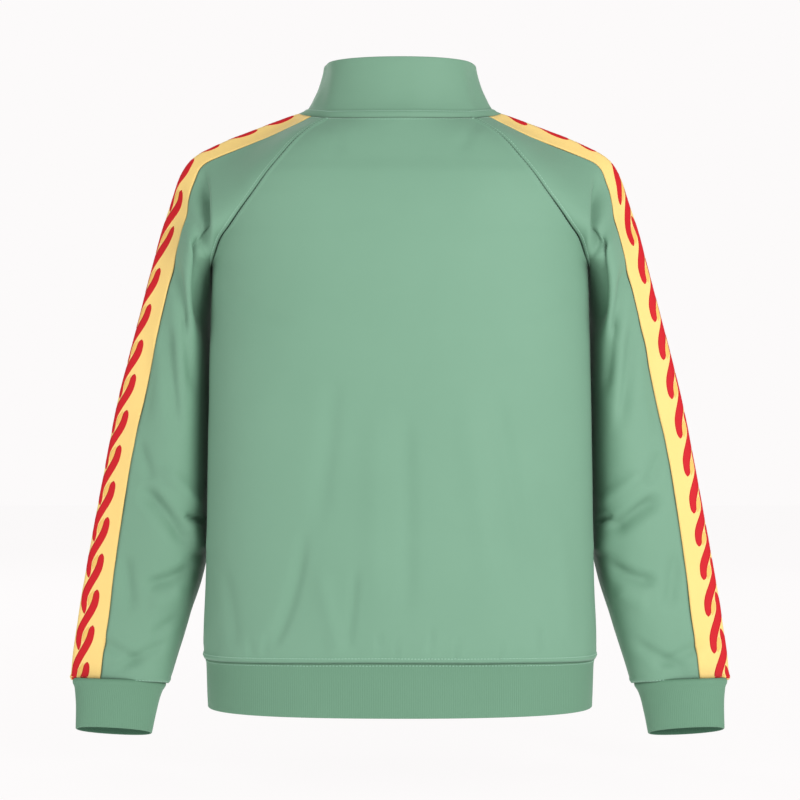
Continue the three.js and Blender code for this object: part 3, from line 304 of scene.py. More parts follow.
# side (-1 back, 1 front), three points of the fold's line, depth (mm, out is
# positive), width to the left and right of the line going down (steps), and lip,
# how far the cloth beside it swells
FOLDS = [
    # left sleeve, seen from behind: shoulder crease, armpit, upper arm, elbow, forearm
    (-1, 203, 166, 205, 222, 207, 260, -9.5, 10.8, 4.32, 0.5),
    (-1, 199, 205, 201, 240, 205, 272, 2.6, 5.4, 5.4, 0),
    (-1, 190, 200, 197, 268, 208, 350, -7.5, 8.1, 10.8, 0.4),
    (-1, 175, 255, 181, 300, 189, 340, -3.4, 8.1, 5.4, 0.6),
    (-1, 167, 318, 171, 375, 181, 445, -3.4, 10.8, 6.75, 0.6),
    (-1, 182, 298, 188, 350, 196, 400, -2.4, 6.75, 6.75, 0.4),
    (-1, 150, 330, 148, 380, 142, 430, -1.6, 10.8, 8.1, 0.3),
    (-1, 138, 438, 144, 460, 153, 484, -2.2, 6.75, 6.75, 0.4),
    (-1, 138, 484, 166, 514, 196, 552, -6, 10.8, 8.1, 0.5),
    (-1, 158, 464, 184, 489, 204, 514, 3, 6.75, 6.75, 0),
    (-1, 184, 514, 195, 518, 206, 522, -3.4, 3.24, 3.24, 0.6),
    (-1, 186, 521, 194, 537, 200, 555, 3.2, 9.45, 9.45, 0),
    (-1, 123, 548, 127, 582, 132, 618, -2.6, 8.1, 8.1, 0.4),
    (-1, 141, 584, 170, 579, 198, 564, -4.4, 8.1, 8.1, 0.5),
    (-1, 146, 604, 168, 600, 188, 588, 2.2, 9.45, 9.45, 0),
    (-1, 92, 636, 120, 652, 152, 668, -2.4, 6.75, 6.75, 0.4),
    (-1, 108, 674, 140, 656, 174, 640, -2.6, 6.75, 6.75, 0.4),
    (-1, 150, 634, 166, 626, 184, 612, -2.2, 6.75, 6.75, 0.4),
    # right sleeve
    (-1, 598, 168, 596, 224, 594, 260, -9, 4.59, 10.8, 0.5),
    (-1, 603, 208, 600, 242, 596, 272, 2.6, 5.4, 5.4, 0),
    (-1, 611, 204, 604, 270, 593, 346, -7, 10.8, 8.1, 0.4),
    (-1, 627, 258, 619, 304, 611, 344, -3.2, 5.4, 8.1, 0.6),
    (-1, 635, 312, 628, 372, 618, 436, -3.4, 6.75, 10.8, 0.6),
    (-1, 616, 302, 610, 352, 603, 402, -2.4, 6.75, 6.75, 0.4),
    (-1, 650, 340, 654, 392, 660, 440, -1.6, 8.1, 10.8, 0.3),
    (-1, 663, 446, 655, 468, 646, 490, -2.2, 6.75, 6.75, 0.4),
    (-1, 664, 494, 634, 514, 598, 538, -5.8, 8.1, 10.8, 0.5),
    (-1, 648, 468, 620, 490, 596, 508, 3, 6.75, 6.75, 0),
    (-1, 614, 516, 604, 519, 594, 523, -3.2, 3.24, 3.24, 0.6),
    (-1, 614, 524, 606, 540, 600, 557, 3, 9.45, 9.45, 0),
    (-1, 677, 546, 673, 580, 668, 614, -2.6, 8.1, 8.1, 0.4),
    (-1, 660, 580, 632, 577, 603, 560, -4.2, 8.1, 8.1, 0.5),
    (-1, 652, 602, 632, 599, 613, 586, 2.2, 9.45, 9.45, 0),
    (-1, 708, 640, 682, 654, 650, 668, -2.2, 6.75, 6.75, 0.4),
    (-1, 694, 672, 662, 658, 628, 638, -2.6, 6.75, 6.75, 0.4),
    # back: long soft folds from the hem, and its puckers
    (-1, 306, 520, 292, 600, 264, 660, -3.4, 9, 6, 0.4),
    (-1, 318, 560, 329, 612, 342, 660, 2.4, 9, 7, 0.0),
    (-1, 356, 560, 352, 610, 346, 660, -2.6, 5, 5, 0.4),
    (-1, 336, 360, 328, 450, 316, 540, -2.4, 14, 10, 0.3),
    (-1, 377, 400, 374, 500, 376, 630, 2.0, 13, 13, 0.0),
    (-1, 404, 400, 408, 510, 406, 645, -2.4, 12, 10, 0.4),
    (-1, 466, 380, 478, 490, 506, 640, 2.2, 14, 12, 0.0),
    (-1, 496, 380, 510, 480, 540, 630, -2.6, 10, 12, 0.4),
    (-1, 556, 500, 566, 590, 570, 652, 1.8, 9, 9, 0.0),
    (-1, 222, 560, 232, 610, 236, 655, -1.6, 8, 6, 0.3),
    (-1, 249, 636, 251, 647, 251, 659, -1.5, 2.2, 2.2, 0.5),
    (-1, 268, 630, 266, 645, 266, 659, -1.8, 2.6, 2.2, 0.5),
    (-1, 378, 628, 380, 646, 381, 664, -1.6, 3, 3, 0.5),
    (-1, 398, 636, 397, 650, 396, 664, -1.3, 2.5, 2.5, 0.5),
    (-1, 431, 622, 431, 644, 431, 664, -1.7, 3, 3, 0.5),
    (-1, 458, 634, 457, 648, 455, 664, -1.4, 2.6, 2.6, 0.5),
    (-1, 541, 622, 542, 642, 542, 660, -1.9, 3, 3, 0.5),
    (-1, 500, 640, 501, 650, 502, 662, -1.2, 2.4, 2.4, 0.5),
    (-1, 212, 280, 250, 306, 300, 322, -1.6, 9, 9, 0.3),
    (-1, 588, 280, 552, 304, 506, 318, -1.6, 9, 9, 0.3),
    (-1, 316, 118, 332, 134, 344, 158, -1.4, 8, 8, 0.3),
    (-1, 484, 118, 470, 132, 458, 156, -1.4, 8, 8, 0.3),
    # collar: two soft upright creases at its ends
    (-1, 325, 56, 323, 82, 317, 112, -1.7, 5.5, 7, 0.2),
    (-1, 472, 56, 474, 82, 481, 112, -1.7, 7, 5.5, 0.2),
    (-1, 395, 60, 400, 84, 404, 110, -0.7, 16, 16, 0.2),
    # front, hidden: the same kinds of fold
    (1, 205, 170, 206, 225, 207, 258, -7.5, 9.45, 5.4, 0.5),
    (1, 192, 205, 198, 268, 207, 340, -5, 8.1, 9.45, 0.4),
    (1, 596, 172, 594, 226, 594, 258, -7.2, 5.4, 9.45, 0.5),
    (1, 609, 208, 603, 270, 594, 340, -5, 9.45, 8.1, 0.4),
    (1, 142, 482, 166, 506, 194, 534, -5, 9.45, 8.1, 0.5),
    (1, 145, 584, 170, 576, 196, 562, -3.6, 8.1, 8.1, 0.5),
    (1, 658, 486, 634, 508, 604, 532, -5, 8.1, 9.45, 0.5),
    (1, 656, 582, 630, 575, 604, 562, -3.6, 8.1, 8.1, 0.5),
    (1, 172, 320, 176, 372, 184, 430, -2.8, 9.45, 8.1, 0.4),
    (1, 629, 318, 624, 372, 616, 430, -2.8, 8.1, 9.45, 0.4),
    (1, 266, 470, 262, 570, 246, 652, -2.8, 10, 9, 0.4),
    (1, 308, 430, 312, 540, 316, 650, 2.0, 12, 12, 0.0),
    (1, 346, 460, 348, 560, 340, 652, -2.4, 9, 10, 0.4),
    (1, 534, 480, 540, 570, 554, 652, -2.8, 9, 10, 0.4),
    (1, 492, 430, 486, 540, 484, 650, 2.0, 12, 12, 0.0),
    (1, 454, 470, 452, 560, 460, 652, -2.4, 10, 9, 0.4),
    (1, 250, 300, 290, 330, 340, 342, -1.6, 9, 9, 0.3),
    (1, 550, 298, 512, 328, 462, 342, -1.6, 9, 9, 0.3),
    (1, 230, 634, 231, 646, 232, 657, -1.5, 3, 3, 0.5),
    (1, 286, 628, 287, 644, 287, 659, -1.7, 3, 3, 0.5),
    (1, 512, 628, 512, 644, 511, 660, -1.7, 3, 3, 0.5),
    (1, 570, 634, 570, 646, 569, 658, -1.5, 3, 3, 0.5),
]


def fold_depth(p, n, lift=1.0):
    k = VIEW_Y / (VIEW_Y + p[..., 1])
    gx, gy = 400 + p[..., 0] * k / GRID, 400 - p[..., 2] * k / GRID
    total = np.zeros(p.shape[:-1])
    face = {-1: smooth((-n[..., 1] + 0.02) / 0.30), 1: smooth((n[..., 1] + 0.02) / 0.30)}
    for side, x0, y0, x1, y1, x2, y2, depth, wl, wr, lip in FOLDS:
        reach = 3 * max(wl, wr)
        near = ((gx > min(x0, x1, x2) - reach) & (gx < max(x0, x1, x2) + reach)
                & (gy > min(y0, y1, y2) - reach) & (gy < max(y0, y1, y2) + reach) & (face[side] > 0))
        if not near.any():
            continue
        u = np.linspace(0, 1, 17)
        cx = x0 * (1 - u)**2 + 2 * (2 * x1 - (x0 + x2) / 2) * u * (1 - u) + x2 * u**2
        cy = y0 * (1 - u)**2 + 2 * (2 * y1 - (y0 + y2) / 2) * u * (1 - u) + y2 * u**2
        X, Y = gx[near], gy[near]
        best = np.full(X.shape, 1e9)
        where, hand = np.zeros(X.shape), np.zeros(X.shape)
        for i in range(16):
            ex, ey = cx[i + 1] - cx[i], cy[i + 1] - cy[i]
            L2 = ex * ex + ey * ey
            a = np.clip(((X - cx[i]) * ex + (Y - cy[i]) * ey) / L2, 0, 1)
            dx, dy = X - cx[i] - a * ex, Y - cy[i] - a * ey
            d = dx * dx + dy * dy
            closer = d < best
            best = np.where(closer, d, best)
            where = np.where(closer, (i + a) / 16, where)
            hand = np.where(closer, ex * dy - ey * dx, hand)
        q = np.sqrt(best) / np.where(hand > 0, wl, wr)
        taper = smooth(where / 0.28) * smooth((1 - where) / 0.28)
        q2 = q * q
        total[near] += depth * taper * np.exp(-q2) * (1 - lip * q2) * face[side][near]
    return total * lift


def relief(p, n, kind):
    """Folds and soft unevenness of a cloth panel, mm along its normal."""
    d = fold_depth(p, n, 1.0 if kind == "body" else 1.55)
    if kind == "body":
        d = d + 0.9 * noise(p / [42, 60, 190], 3) * smooth((150 - p[..., 2]) / 300)
        d = d + 0.30 * noise(p / [30, 40, 46], 5)
    elif kind == "sleeve":
        d = d + 0.55 * noise(p / [26, 34, 60], 7) + 0.22 * noise(p / [14, 20, 22], 8)
    elif kind == "tape":
        d = d + 0.30 * noise(p / [30, 40, 46], 9)
    elif kind == "band":
        d = d + 0.28 * noise(p / [34, 34, 30], 11)
    return d + 0.06 * noise(p / [7, 9, 7], 13)


# ---- panels -----------------------------------------------------------------
class Panel:
    """Rows from the neck or seam down; columns from one edge to the other."""

    def __init__(self, P, out, kind):
        self.P = P
        self.kind = kind
        dr, dc = np.gradient(P, axis=0), np.gradient(P, axis=1)
        n = np.cross(dr, dc)
        n /= np.maximum(np.linalg.norm(n, axis=-1, keepdims=True), 1e-9)
        self.N = n * out
        seg = np.linalg.norm(np.diff(P, axis=1), axis=-1)
        self.across = np.concatenate([np.zeros((len(P), 1)), np.cumsum(seg, axis=1)], axis=1)
        seg = np.linalg.norm(np.diff(P, axis=0), axis=-1)
        self.down = np.concatenate([np.zeros((1, P.shape[1])), np.cumsum(seg, axis=0)], axis=0)

    def mirrored(self):
        return Panel(self.P * [-1, 1, 1], -self.sign(), self.kind)

    def sign(self):
        dr, dc = np.gradient(self.P, axis=0), np.gradient(self.P, axis=1)
        return 1.0 if (np.cross(dr, dc) * self.N).sum() > 0 else -1.0

    def edge(self, side):
        """Distance of every point from one of the panel's edges."""
        if side == "left":
            return self.across
        if side == "right":
            return self.across[:, -1:] - self.across
        if side == "top":
            return self.down
        return self.down[-1:] - self.down

    def shape(self, edges):
        d = relief(self.P, self.N, self.kind)
        for side, profile in edges.items():
            d = d + profile(self.edge(side), self.down if side in ("left", "right") else self.across)
        self.Q = self.P + self.N * d[..., None]
        dr, dc = np.gradient(self.Q, axis=0), np.gradient(self.Q, axis=1)
        n = np.cross(dr, dc)
        n /= np.maximum(np.linalg.norm(n, axis=-1, keepdims=True), 1e-9)
        self.M = n * (1.0 if (n * self.N).sum() > 0 else -1.0)
        return self

    def on(self, down, across):
        """Points and normals of the finished surface; down and across in mm,
        across measured from the left edge."""
        down, across = np.atleast_1d(down).astype(float), np.atleast_1d(across).astype(float)
        R, C = self.P.shape[:2]
        mid = self.down[:, C // 2]
        r = np.interp(down, mid, np.arange(R))
        i = np.clip(r.astype(int), 0, R - 2)
        f = (r - i)[:, None]
        c = np.empty_like(across)
        for k in range(len(across)):
            row = lerp(self.across[i[k]], self.across[i[k] + 1], f[k, 0])
            c[k] = np.interp(across[k], row, np.arange(C))
        j = np.clip(c.astype(int), 0, C - 2)
        g = (c - j)[:, None]

        def mix(A):
            return lerp(lerp(A[i, j], A[i, j + 1], g), lerp(A[i + 1, j], A[i + 1, j + 1], g), f)
        n = mix(self.M)
        return mix(self.Q), n / np.linalg.norm(n, axis=1, keepdims=True)

    def tuck(self, side, drop, inset):
        """Carries the cloth on past an edge, under its neighbour, as its seam allowance."""
        k, j = (0, 1) if side == "top" else (-1, -2)
        away = self.Q[k] - self.Q[j]
        away /= np.maximum(np.linalg.norm(away, axis=1, keepdims=True), 1e-9)
        q = self.Q[k] + away * drop - self.M[k] * inset
        way = -drop if side == "top" else drop
        add = {"Q": q, "P": q, "M": self.M[k], "N": self.N[k], "across": self.across[k], "down": self.down[k] + way}
        for key, row in add.items():
            old = getattr(self, key)
            both = [row[None], old] if side == "top" else [old, row[None]]
            setattr(self, key, np.concatenate(both))

    def line(self, side, off, lo=0.0, hi=0.0):
        """The line at a distance inside an edge, as points and normals."""
        if side in ("left", "right"):
            R = len(self.P)
            pts, nrm = [], []
            for i in range(R):
                s = self.across[i]
                at = off if side == "left" else s[-1] - off
                c = np.interp(at, s, np.arange(len(s)))
                j = min(int(c), len(s) - 2)
                pts.append(lerp(self.Q[i, j], self.Q[i, j + 1], c - j))
                nrm.append(lerp(self.M[i, j], self.M[i, j + 1], c - j))
        else:
            C = self.P.shape[1]
            pts, nrm = [], []
            for j in range(C):
                s = self.down[:, j]
                at = off if side == "top" else s[-1] - off
                c = np.interp(at, s, np.arange(len(s)))
                i = min(int(c), len(s) - 2)
                pts.append(lerp(self.Q[i, j], self.Q[i + 1, j], c - i))
                nrm.append(lerp(self.M[i, j], self.M[i + 1, j], c - i))
        pts, nrm = np.array(pts), np.array(nrm)
        s = lengths(pts)
        keep = (s >= lo) & (s <= s[-1] - hi)
        return pts[keep], nrm[keep]


# ---- meshes -----------------------------------------------------------------
def to_world(P):
    return (np.asarray(P) - [0, 0, NECK_Z]) * 0.001


def make(name, verts, faces, mats, body=JACKET, uvs=None, slots=None, shade=True):
    me = bpy.data.meshes.new(name)
    me.from_pydata(np.asarray(verts).tolist(), [], [list(f) for f in faces])
    for m in mats:
        me.materials.append(m)
    if slots is not None:
        me.polygons.foreach_set("material_index", np.asarray(slots, dtype=np.int32))
    if uvs is not None:
        layer = me.uv_layers.new(name="cloth")
        idx = np.empty(len(me.loops), dtype=np.int32)
        me.loops.foreach_get("vertex_index", idx)
        layer.data.foreach_set("uv", np.asarray(uvs, dtype=np.float32)[idx].ravel())
    me.polygons.foreach_set("use_smooth", [shade] * len(me.polygons))
    me.update()
    ob = bpy.data.objects.new(name, me)
    bpy.context.scene.collection.objects.link(ob)
    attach(ob, body)
    return ob


def face_out(verts, faces):
    """Faces in the order that makes a closed mesh's volume positive."""
    V = np.asarray(verts)
    tri = np.array([f[:3] for f in faces] + [(f[0], f[2], f[3]) for f in faces if len(f) == 4])
    vol = np.einsum("ij,ij->i", V[tri[:, 0]], np.cross(V[tri[:, 1]], V[tri[:, 2]])).sum()
    return faces if vol > 0 else [tuple(reversed(f)) for f in faces]


def shell(name, panel, thick, mats, free=None, closed=False):
    """The panel as cloth of one thickness; free is an edge that is a fold
    ("top" or "bottom"), which is round. Slot 0 is its right side, 1 its wrong side."""
    Q, M = panel.Q, panel.M
    R, C = Q.shape[:2]
    rows, side = [], []
    outer = [(Q[i], 0) for i in range(R)]
    inner = [(Q[i] - M[i] * thick, 1) for i in range(R)]
    if free:
        if free == "top":
            outer, inner = outer[::-1], inner[::-1]
        edge_q, edge_m = (Q[-1], M[-1]) if free == "bottom" else (Q[0], M[0])
        away = (Q[-1] - Q[-2]) if free == "bottom" else (Q[0] - Q[1])
        away = away / np.linalg.norm(away, axis=1, keepdims=True)
        r = thick / 2
        mid = edge_q - edge_m * r
        turn = [(mid + edge_m * r * math.cos(a) + away * r * math.sin(a), 0 if a < 1.6 else 1)
                for a in (0.5, 1.0, 1.57, 2.1, 2.6)]
        loop = outer + turn + inner[::-1]
    else:
        loop = outer + inner[::-1]
    pts = np.array([x[0] for x in loop])
    tags = [x[1] for x in loop]
    L = len(loop)
    idx = np.arange(L * C).reshape(L, C)
    last = C if closed else C - 1
    faces, slots = [], []
    for a in range(L):
        b = (a + 1) % L
        j = np.arange(last)
        k = (j + 1) % C
        quads = np.stack([idx[a][j], idx[a][k], idx[b][k], idx[b][j]], axis=1)
        faces.append(quads)
        slots += [max(tags[a], tags[b]) if a < L - 1 else 1] * last
    faces = np.concatenate(faces)
    faces = [tuple(f) for f in faces.tolist()]
    if not closed:
        half = L // 2
        for j in (0, C - 1):
            for a in range(half - (0 if L % 2 == 0 else 0)):
                b, c, d = a + 1, L - 2 - a, L - 1 - a
                if b < c:
                    f = (idx[a][j], idx[b][j], idx[c][j], idx[d][j])
                elif b == c:
                    f = (idx[a][j], idx[b][j], idx[d][j])
                else:
                    continue
                faces.append(tuple(int(x) for x in (f if j == 0 else f[::-1])))
                slots.append(0)
    flat_d = panel.down[:, C // 2]
    dd = list(flat_d)
    order = dd if free != "top" else dd[::-1]
    extra = [order[-1]] * (L - 2 * R)
    drow = np.array(order + extra + order[::-1])
    across = panel.across if free != "top" else panel.across[::-1]
    arow = np.concatenate([across, np.repeat(across[-1:], L - 2 * R, axis=0), across[::-1]])
    arow = arow - arow[:, C // 2][:, None]
    uvs = np.stack([arow, np.repeat(drow[:, None], C, axis=1)], axis=-1).reshape(-1, 2) * 0.001
    verts = to_world(pts.reshape(-1, 3))
    faces = face_out(verts, faces)
    return make(name, verts, faces, mats, uvs=uvs, slots=slots)


def stitches(name, runs, mat, length=2.6, pitch=3.6, width=0.75, height=0.36):
    """Rows of lock stitches: runs are (points, normals) on the cloth."""
    verts, faces = [], []
    ring = [(-1, -0.4), (-0.6, 0.75), (0.6, 0.75), (1, -0.4)]
    for pts, nrm in runs:
        s = lengths(pts)
        n = int(s[-1] // pitch)
        if n < 1:
            continue
        mids = (np.arange(n) + 0.5) * (s[-1] / n)
        jit = 0.12 * noise(np.stack([mids * 0.9, mids * 0, mids * 0 + len(verts)], axis=1), 21)
        for m, jt in zip(mids, jit):
            a, b = pick(pts, s, m - length / 2), pick(pts, s, m + length / 2)
            up = unit(pick(nrm, s, m))
            t = unit(b - a)
            w = unit(np.cross(t, up))
            a, b = a + w * jt, b + w * jt
            base = len(verts)
            verts.append(a - up * 0.2)
            for f in (0.18, 0.82):
                c = lerp(a, b, f)
                for x, y in ring:
                    verts.append(c + w * x * width / 2 + up * y * height)
            verts.append(b - up * 0.2)
            for k in range(4):
                l = (k + 1) % 4
                faces.append((base, base + 1 + l, base + 1 + k))
                faces.append((base + 1 + k, base + 1 + l, base + 5 + l, base + 5 + k))
                faces.append((base + 9, base + 5 + k, base + 5 + l))
    V = to_world(np.array(verts))
    return make(name, V, face_out(V, faces), [mat])


# ---- materials --------------------------------------------------------------
def srgb(r, g, b):
    return tuple(((c / 255) / 12.92 if c / 255 <= 0.04045 else ((c / 255 + 0.055) / 1.055) ** 2.4)
                 for c in (r, g, b)) + (1.0,)


def material(name, rgb, rough=0.6, metal=0.0):
    m = bpy.data.materials.new(name)
    m.use_nodes = True
    b = m.node_tree.nodes["Principled BSDF"]
    b.inputs["Base Color"].default_value = srgb(*rgb)
    b.inputs["Roughness"].default_value = rough
    b.inputs["Metallic"].default_value = metal
    return m, m.node_tree, b


def node(nt, kind, **values):
    n = nt.nodes.new(kind)
    for k, v in values.items():
        if k in n.inputs:
            n.inputs[k].default_value = v
        else:
            setattr(n, k, v)
    return n


def knit(name, rgb, dark, wale=0.85, course=0.7, rough=0.6, sheen=0.08, bump=0.25, rib=0.0, spec=0.22):
    """Warp knit: fine wales across u and courses down v, soft cloudy colour, with painted shade between the wales and
    in creases.
    """
    m, nt, b = material(name, rgb, rough)
    L = nt.links.new
    b.inputs["Sheen Weight"].default_value = sheen
    b.inputs["Sheen Roughness"].default_value = 0.45
    b.inputs["Specular IOR Level"].default_value = spec
    uv = node(nt, "ShaderNodeUVMap", uv_map="cloth")
    geo = node(nt, "ShaderNodeTexCoord")
    cloud = node(nt, "ShaderNodeTexNoise")
    cloud.inputs["Scale"].default_value = 9.0
    cloud.inputs["Detail"].default_value = 3.0
    L(geo.outputs["Object"], cloud.inputs["Vector"])
    fine = node(nt, "ShaderNodeTexNoise")
    fine.inputs["Scale"].default_value = 900.0
    fine.inputs["Detail"].default_value = 2.0
    L(geo.outputs["Object"], fine.inputs["Vector"])
    wales = node(nt, "ShaderNodeTexWave", wave_type="BANDS", bands_direction="X", wave_profile="SIN")
    wales.inputs["Scale"].default_value = 1.0 / (wale * 0.001) / 3.1831
    wales.inputs["Distortion"].default_value = 0.6
    wales.inputs["Detail Scale"].default_value = 2.0
    L(uv.outputs["UV"], wales.inputs["Vector"])
    courses = node(nt, "ShaderNodeTexWave", wave_type="BANDS", bands_direction="Y", wave_profile="SIN")
    courses.inputs["Scale"].default_value = 1.0 / (course * 0.001) / 3.1831
    courses.inputs["Distortion"].default_value = 0.8
    L(uv.outputs["UV"], courses.inputs["Vector"])
    both = node(nt, "ShaderNodeMath", operation="MULTIPLY_ADD")
    L(courses.outputs["Fac"], both.inputs[0])
    both.inputs[1].default_value = 0.45
    L(wales.outputs["Fac"], both.inputs[2])
    height = both
    if rib:
        ribs = node(nt, "ShaderNodeTexWave", wave_type="BANDS", bands_direction="X", wave_profile="SIN")
        ribs.inputs["Scale"].default_value = 1.0 / (rib * 0.001) / 3.1831
        ribs.inputs["Distortion"].default_value = 0.3
        L(uv.outputs["UV"], ribs.inputs["Vector"])
        add = node(nt, "ShaderNodeMath", operation="MULTIPLY_ADD")
        L(ribs.outputs["Fac"], add.inputs[0])
        add.inputs[1].default_value = 2.2
        L(both.outputs[0], add.inputs[2])
        height = add
    grain = node(nt, "ShaderNodeMath", operation="MULTIPLY_ADD")
    L(fine.outputs["Fac"], grain.inputs[0])
    grain.inputs[1].default_value = 0.8
    L(height.outputs[0], grain.inputs[2])
    bp = node(nt, "ShaderNodeBump")
    bp.inputs["Strength"].default_value = bump
    bp.inputs["Distance"].default_value = 0.00022
    L(grain.outputs[0], bp.inputs["Height"])
    L(bp.outputs["Normal"], b.inputs["Normal"])
    # colour: the yarn's tone with a soft cloudy variation, and painted shade that makes it a little darker between the
    # wales and ribs, where the bump's height is low
    tone = node(nt, "ShaderNodeMix", data_type="RGBA")
    tone.inputs[6].default_value = srgb(*dark)
    tone.inputs[7].default_value = srgb(*rgb)
    amount = node(nt, "ShaderNodeMapRange")
    amount.inputs["From Min"].default_value = 0.0
    amount.inputs["From Max"].default_value = 1.45 + (2.2 if rib else 0)
    amount.inputs["To Min"].default_value = 0.62
    amount.inputs["To Max"].default_value = 1.0
    L(height.outputs[0], amount.inputs["Value"])
    soft = node(nt, "ShaderNodeMath", operation="MULTIPLY")
    vary = node(nt, "ShaderNodeMapRange")
    vary.inputs["From Min"].default_value = 0.3
    vary.inputs["From Max"].default_value = 0.7
    vary.inputs["To Min"].default_value = 0.86
    vary.inputs["To Max"].default_value = 1.0
    L(cloud.outputs["Fac"], vary.inputs["Value"])
    L(amount.outputs["Result"], soft.inputs[0])
    L(vary.outputs["Result"], soft.inputs[1])
    L(soft.outputs[0], tone.inputs[0])
    # painted shade: an ambient-occlusion node lowers the base colour where cloth lies close to cloth, in creases and
    # behind the arms
    near = node(nt, "ShaderNodeAmbientOcclusion", samples=6)
    near.inputs["Distance"].default_value = 0.022
    painted_shade_factor = node(nt, "ShaderNodeMapRange")
    painted_shade_factor.inputs["From Min"].default_value = 0.25
    painted_shade_factor.inputs["From Max"].default_value = 0.9
    painted_shade_factor.inputs["To Min"].default_value = 0.58
    painted_shade_factor.inputs["To Max"].default_value = 1.0
    L(near.outputs["AO"], painted_shade_factor.inputs["Value"])
    shade = node(nt, "ShaderNodeMix", data_type="RGBA", blend_type="MULTIPLY")
    shade.inputs[0].default_value = 1.0
    L(tone.outputs[2], shade.inputs[6])
    L(painted_shade_factor.outputs["Result"], shade.inputs[7])
    L(shade.outputs[2], b.inputs["Base Color"])
    return m


def thread(name, rgb):
    m, nt, b = material(name, rgb, 0.5)
    b.inputs["Sheen Weight"].default_value = 0.2
    tex = node(nt, "ShaderNodeTexNoise")
    tex.inputs["Scale"].default_value = 2500.0
    co = node(nt, "ShaderNodeTexCoord")
    nt.links.new(co.outputs["Object"], tex.inputs["Vector"])
    bp = node(nt, "ShaderNodeBump")
    bp.inputs["Strength"].default_value = 0.3
    bp.inputs["Distance"].default_value = 0.0001
    nt.links.new(tex.outputs["Fac"], bp.inputs["Height"])
    nt.links.new(bp.outputs["Normal"], b.inputs["Normal"])
    return m


def plated(name, rgb, rough, metal):
    m, nt, b = material(name, rgb, rough, metal)
    tex = node(nt, "ShaderNodeTexNoise")
    tex.inputs["Scale"].default_value = 420.0
    tex.inputs["Detail"].default_value = 4.0
    co = node(nt, "ShaderNodeTexCoord")
    nt.links.new(co.outputs["Object"], tex.inputs["Vector"])
    rr = node(nt, "ShaderNodeMapRange")
    rr.inputs["To Min"].default_value = rough * 0.75
    rr.inputs["To Max"].default_value = rough * 1.35
    nt.links.new(tex.outputs["Fac"], rr.inputs["Value"])
    nt.links.new(rr.outputs["Result"], b.inputs["Roughness"])
    bp = node(nt, "ShaderNodeBump")
    bp.inputs["Strength"].default_value = 0.08
    bp.inputs["Distance"].default_value = 0.0001
    nt.links.new(tex.outputs["Fac"], bp.inputs["Height"])
    nt.links.new(bp.outputs["Normal"], b.inputs["Normal"])
    return m


GREEN = knit("green_tricot", (125, 166, 141), (100, 141, 116))
# the wrong-side copies are darker than the right sides: partly the reverse of the fabric, partly painted shade for the
# inside of the garment and the cuffs
GREEN_IN_SHADED = knit("green_tricot_wrong_side", (104, 150, 124), (84, 128, 104), wale=1.1, course=1.0, rough=0.85, sheen=0.1)
RIB = knit("green_rib", (111, 152, 126), (88, 130, 104), wale=1.2, course=0.9, rib=2.4, rough=0.66, bump=0.32)
RIB_IN_SHADED = knit("green_rib_wrong_side", (80, 122, 98), (62, 100, 78), wale=1.2, course=0.9, rib=2.4, rough=0.85, sheen=0.1)
COLLAR_CLOTH = knit("collar_tricot", (121, 161, 136), (98, 138, 114))
YELLOW = knit("yellow_tape", (250, 217, 138), (239, 198, 104), wale=0.8, course=0.8, rough=0.55, sheen=0.08)
YELLOW_IN_SHADED = knit("yellow_tape_wrong_side", (226, 200, 130), (200, 172, 104), rough=0.85, sheen=0.1)
GOLD = knit("twist_ground", (241, 198, 110), (228, 180, 88), wale=0.8, course=0.8, rough=0.6, sheen=0.1)
RED = knit("twist_red", (214, 26, 38), (180, 16, 28), wale=0.8, course=0.8, rough=0.6, sheen=0.03)
GREEN_THREAD = thread("green_thread", (164, 208, 184))
YELLOW_THREAD = thread("yellow_thread", (250, 224, 150))
ZIP_CLOTH = knit("zip_tape_cloth", (104, 150, 124), (82, 126, 102), wale=0.6, course=0.6, rough=0.7, bump=0.5)
TEETH = plated("zip_teeth", (132, 172, 148), 0.38, 0.0)
METAL = plated("zip_metal", (190, 192, 192), 0.28, 1.0)


# ---- seams' profiles (d = mm from the edge, s = mm along it) ----------------
def bump_at(d, at, width, height):
    return height * np.exp(-((d - at) / width)**2)


def groove(d, s):                                   # a plain pressed seam
    return bump_at(d, 0, 1.3, -0.8)


def stitched(at, ease=0.25, step=9.0):              # pressed seam with a stitch line beside it
    def profile(d, s):
        wave = noise(np.stack([s / step, d * 0, d * 0 + at], axis=-1), 31)
        return (bump_at(d, 0, 1.1, -0.9) + bump_at(d, at * 0.5, at * 0.42, 0.5) + bump_at(d, at, 0.8, -0.35)
                + ease * wave * np.exp(-((d - at * 1.6) / (at * 1.3))**2))
    return profile


def raglan_body(d, s):                              # rolled light ridge along the back's edge
    return bump_at(d, 0, 0.9, -0.7) + bump_at(d, 2.4, 1.7, 1.25)


def raglan_sleeve(d, s):                            # allowance under the sleeve, stitched at 4.5 mm
    return bump_at(d, 0, 1.0, -0.8) + bump_at(d, 2.4, 1.6, 0.45) + bump_at(d, 4.8, 0.8, -0.55)


def hem_seam(d, s):                                 # welt above the hem band, puckered above it
    w = noise(np.stack([s / 7.0, d * 0, d * 0 + 2.0], axis=-1), 41)
    v = noise(np.stack([s / 19.0, d * 0, d * 0 + 4.0], axis=-1), 42)
    return (bump_at(d, 0, 0.7, -0.6) + bump_at(d, 2.6, 1.7, 1.8) + bump_at(d, 5.6, 1.0, -0.9)
            + (0.35 * w * np.exp(-((d - 9) / 5)**2) + 0.9 * v * np.exp(-((d - 15) / 12)**2)) * smooth((d - 4.2) / 3))


def band_top(d, s):                                 # the band below the welt
    w = noise(np.stack([s / 6.0, d * 0, d * 0 + 6.0], axis=-1), 43)
    return bump_at(d, 0, 1.6, -1.1) + 0.16 * w * np.exp(-((d - 4) / 4)**2)


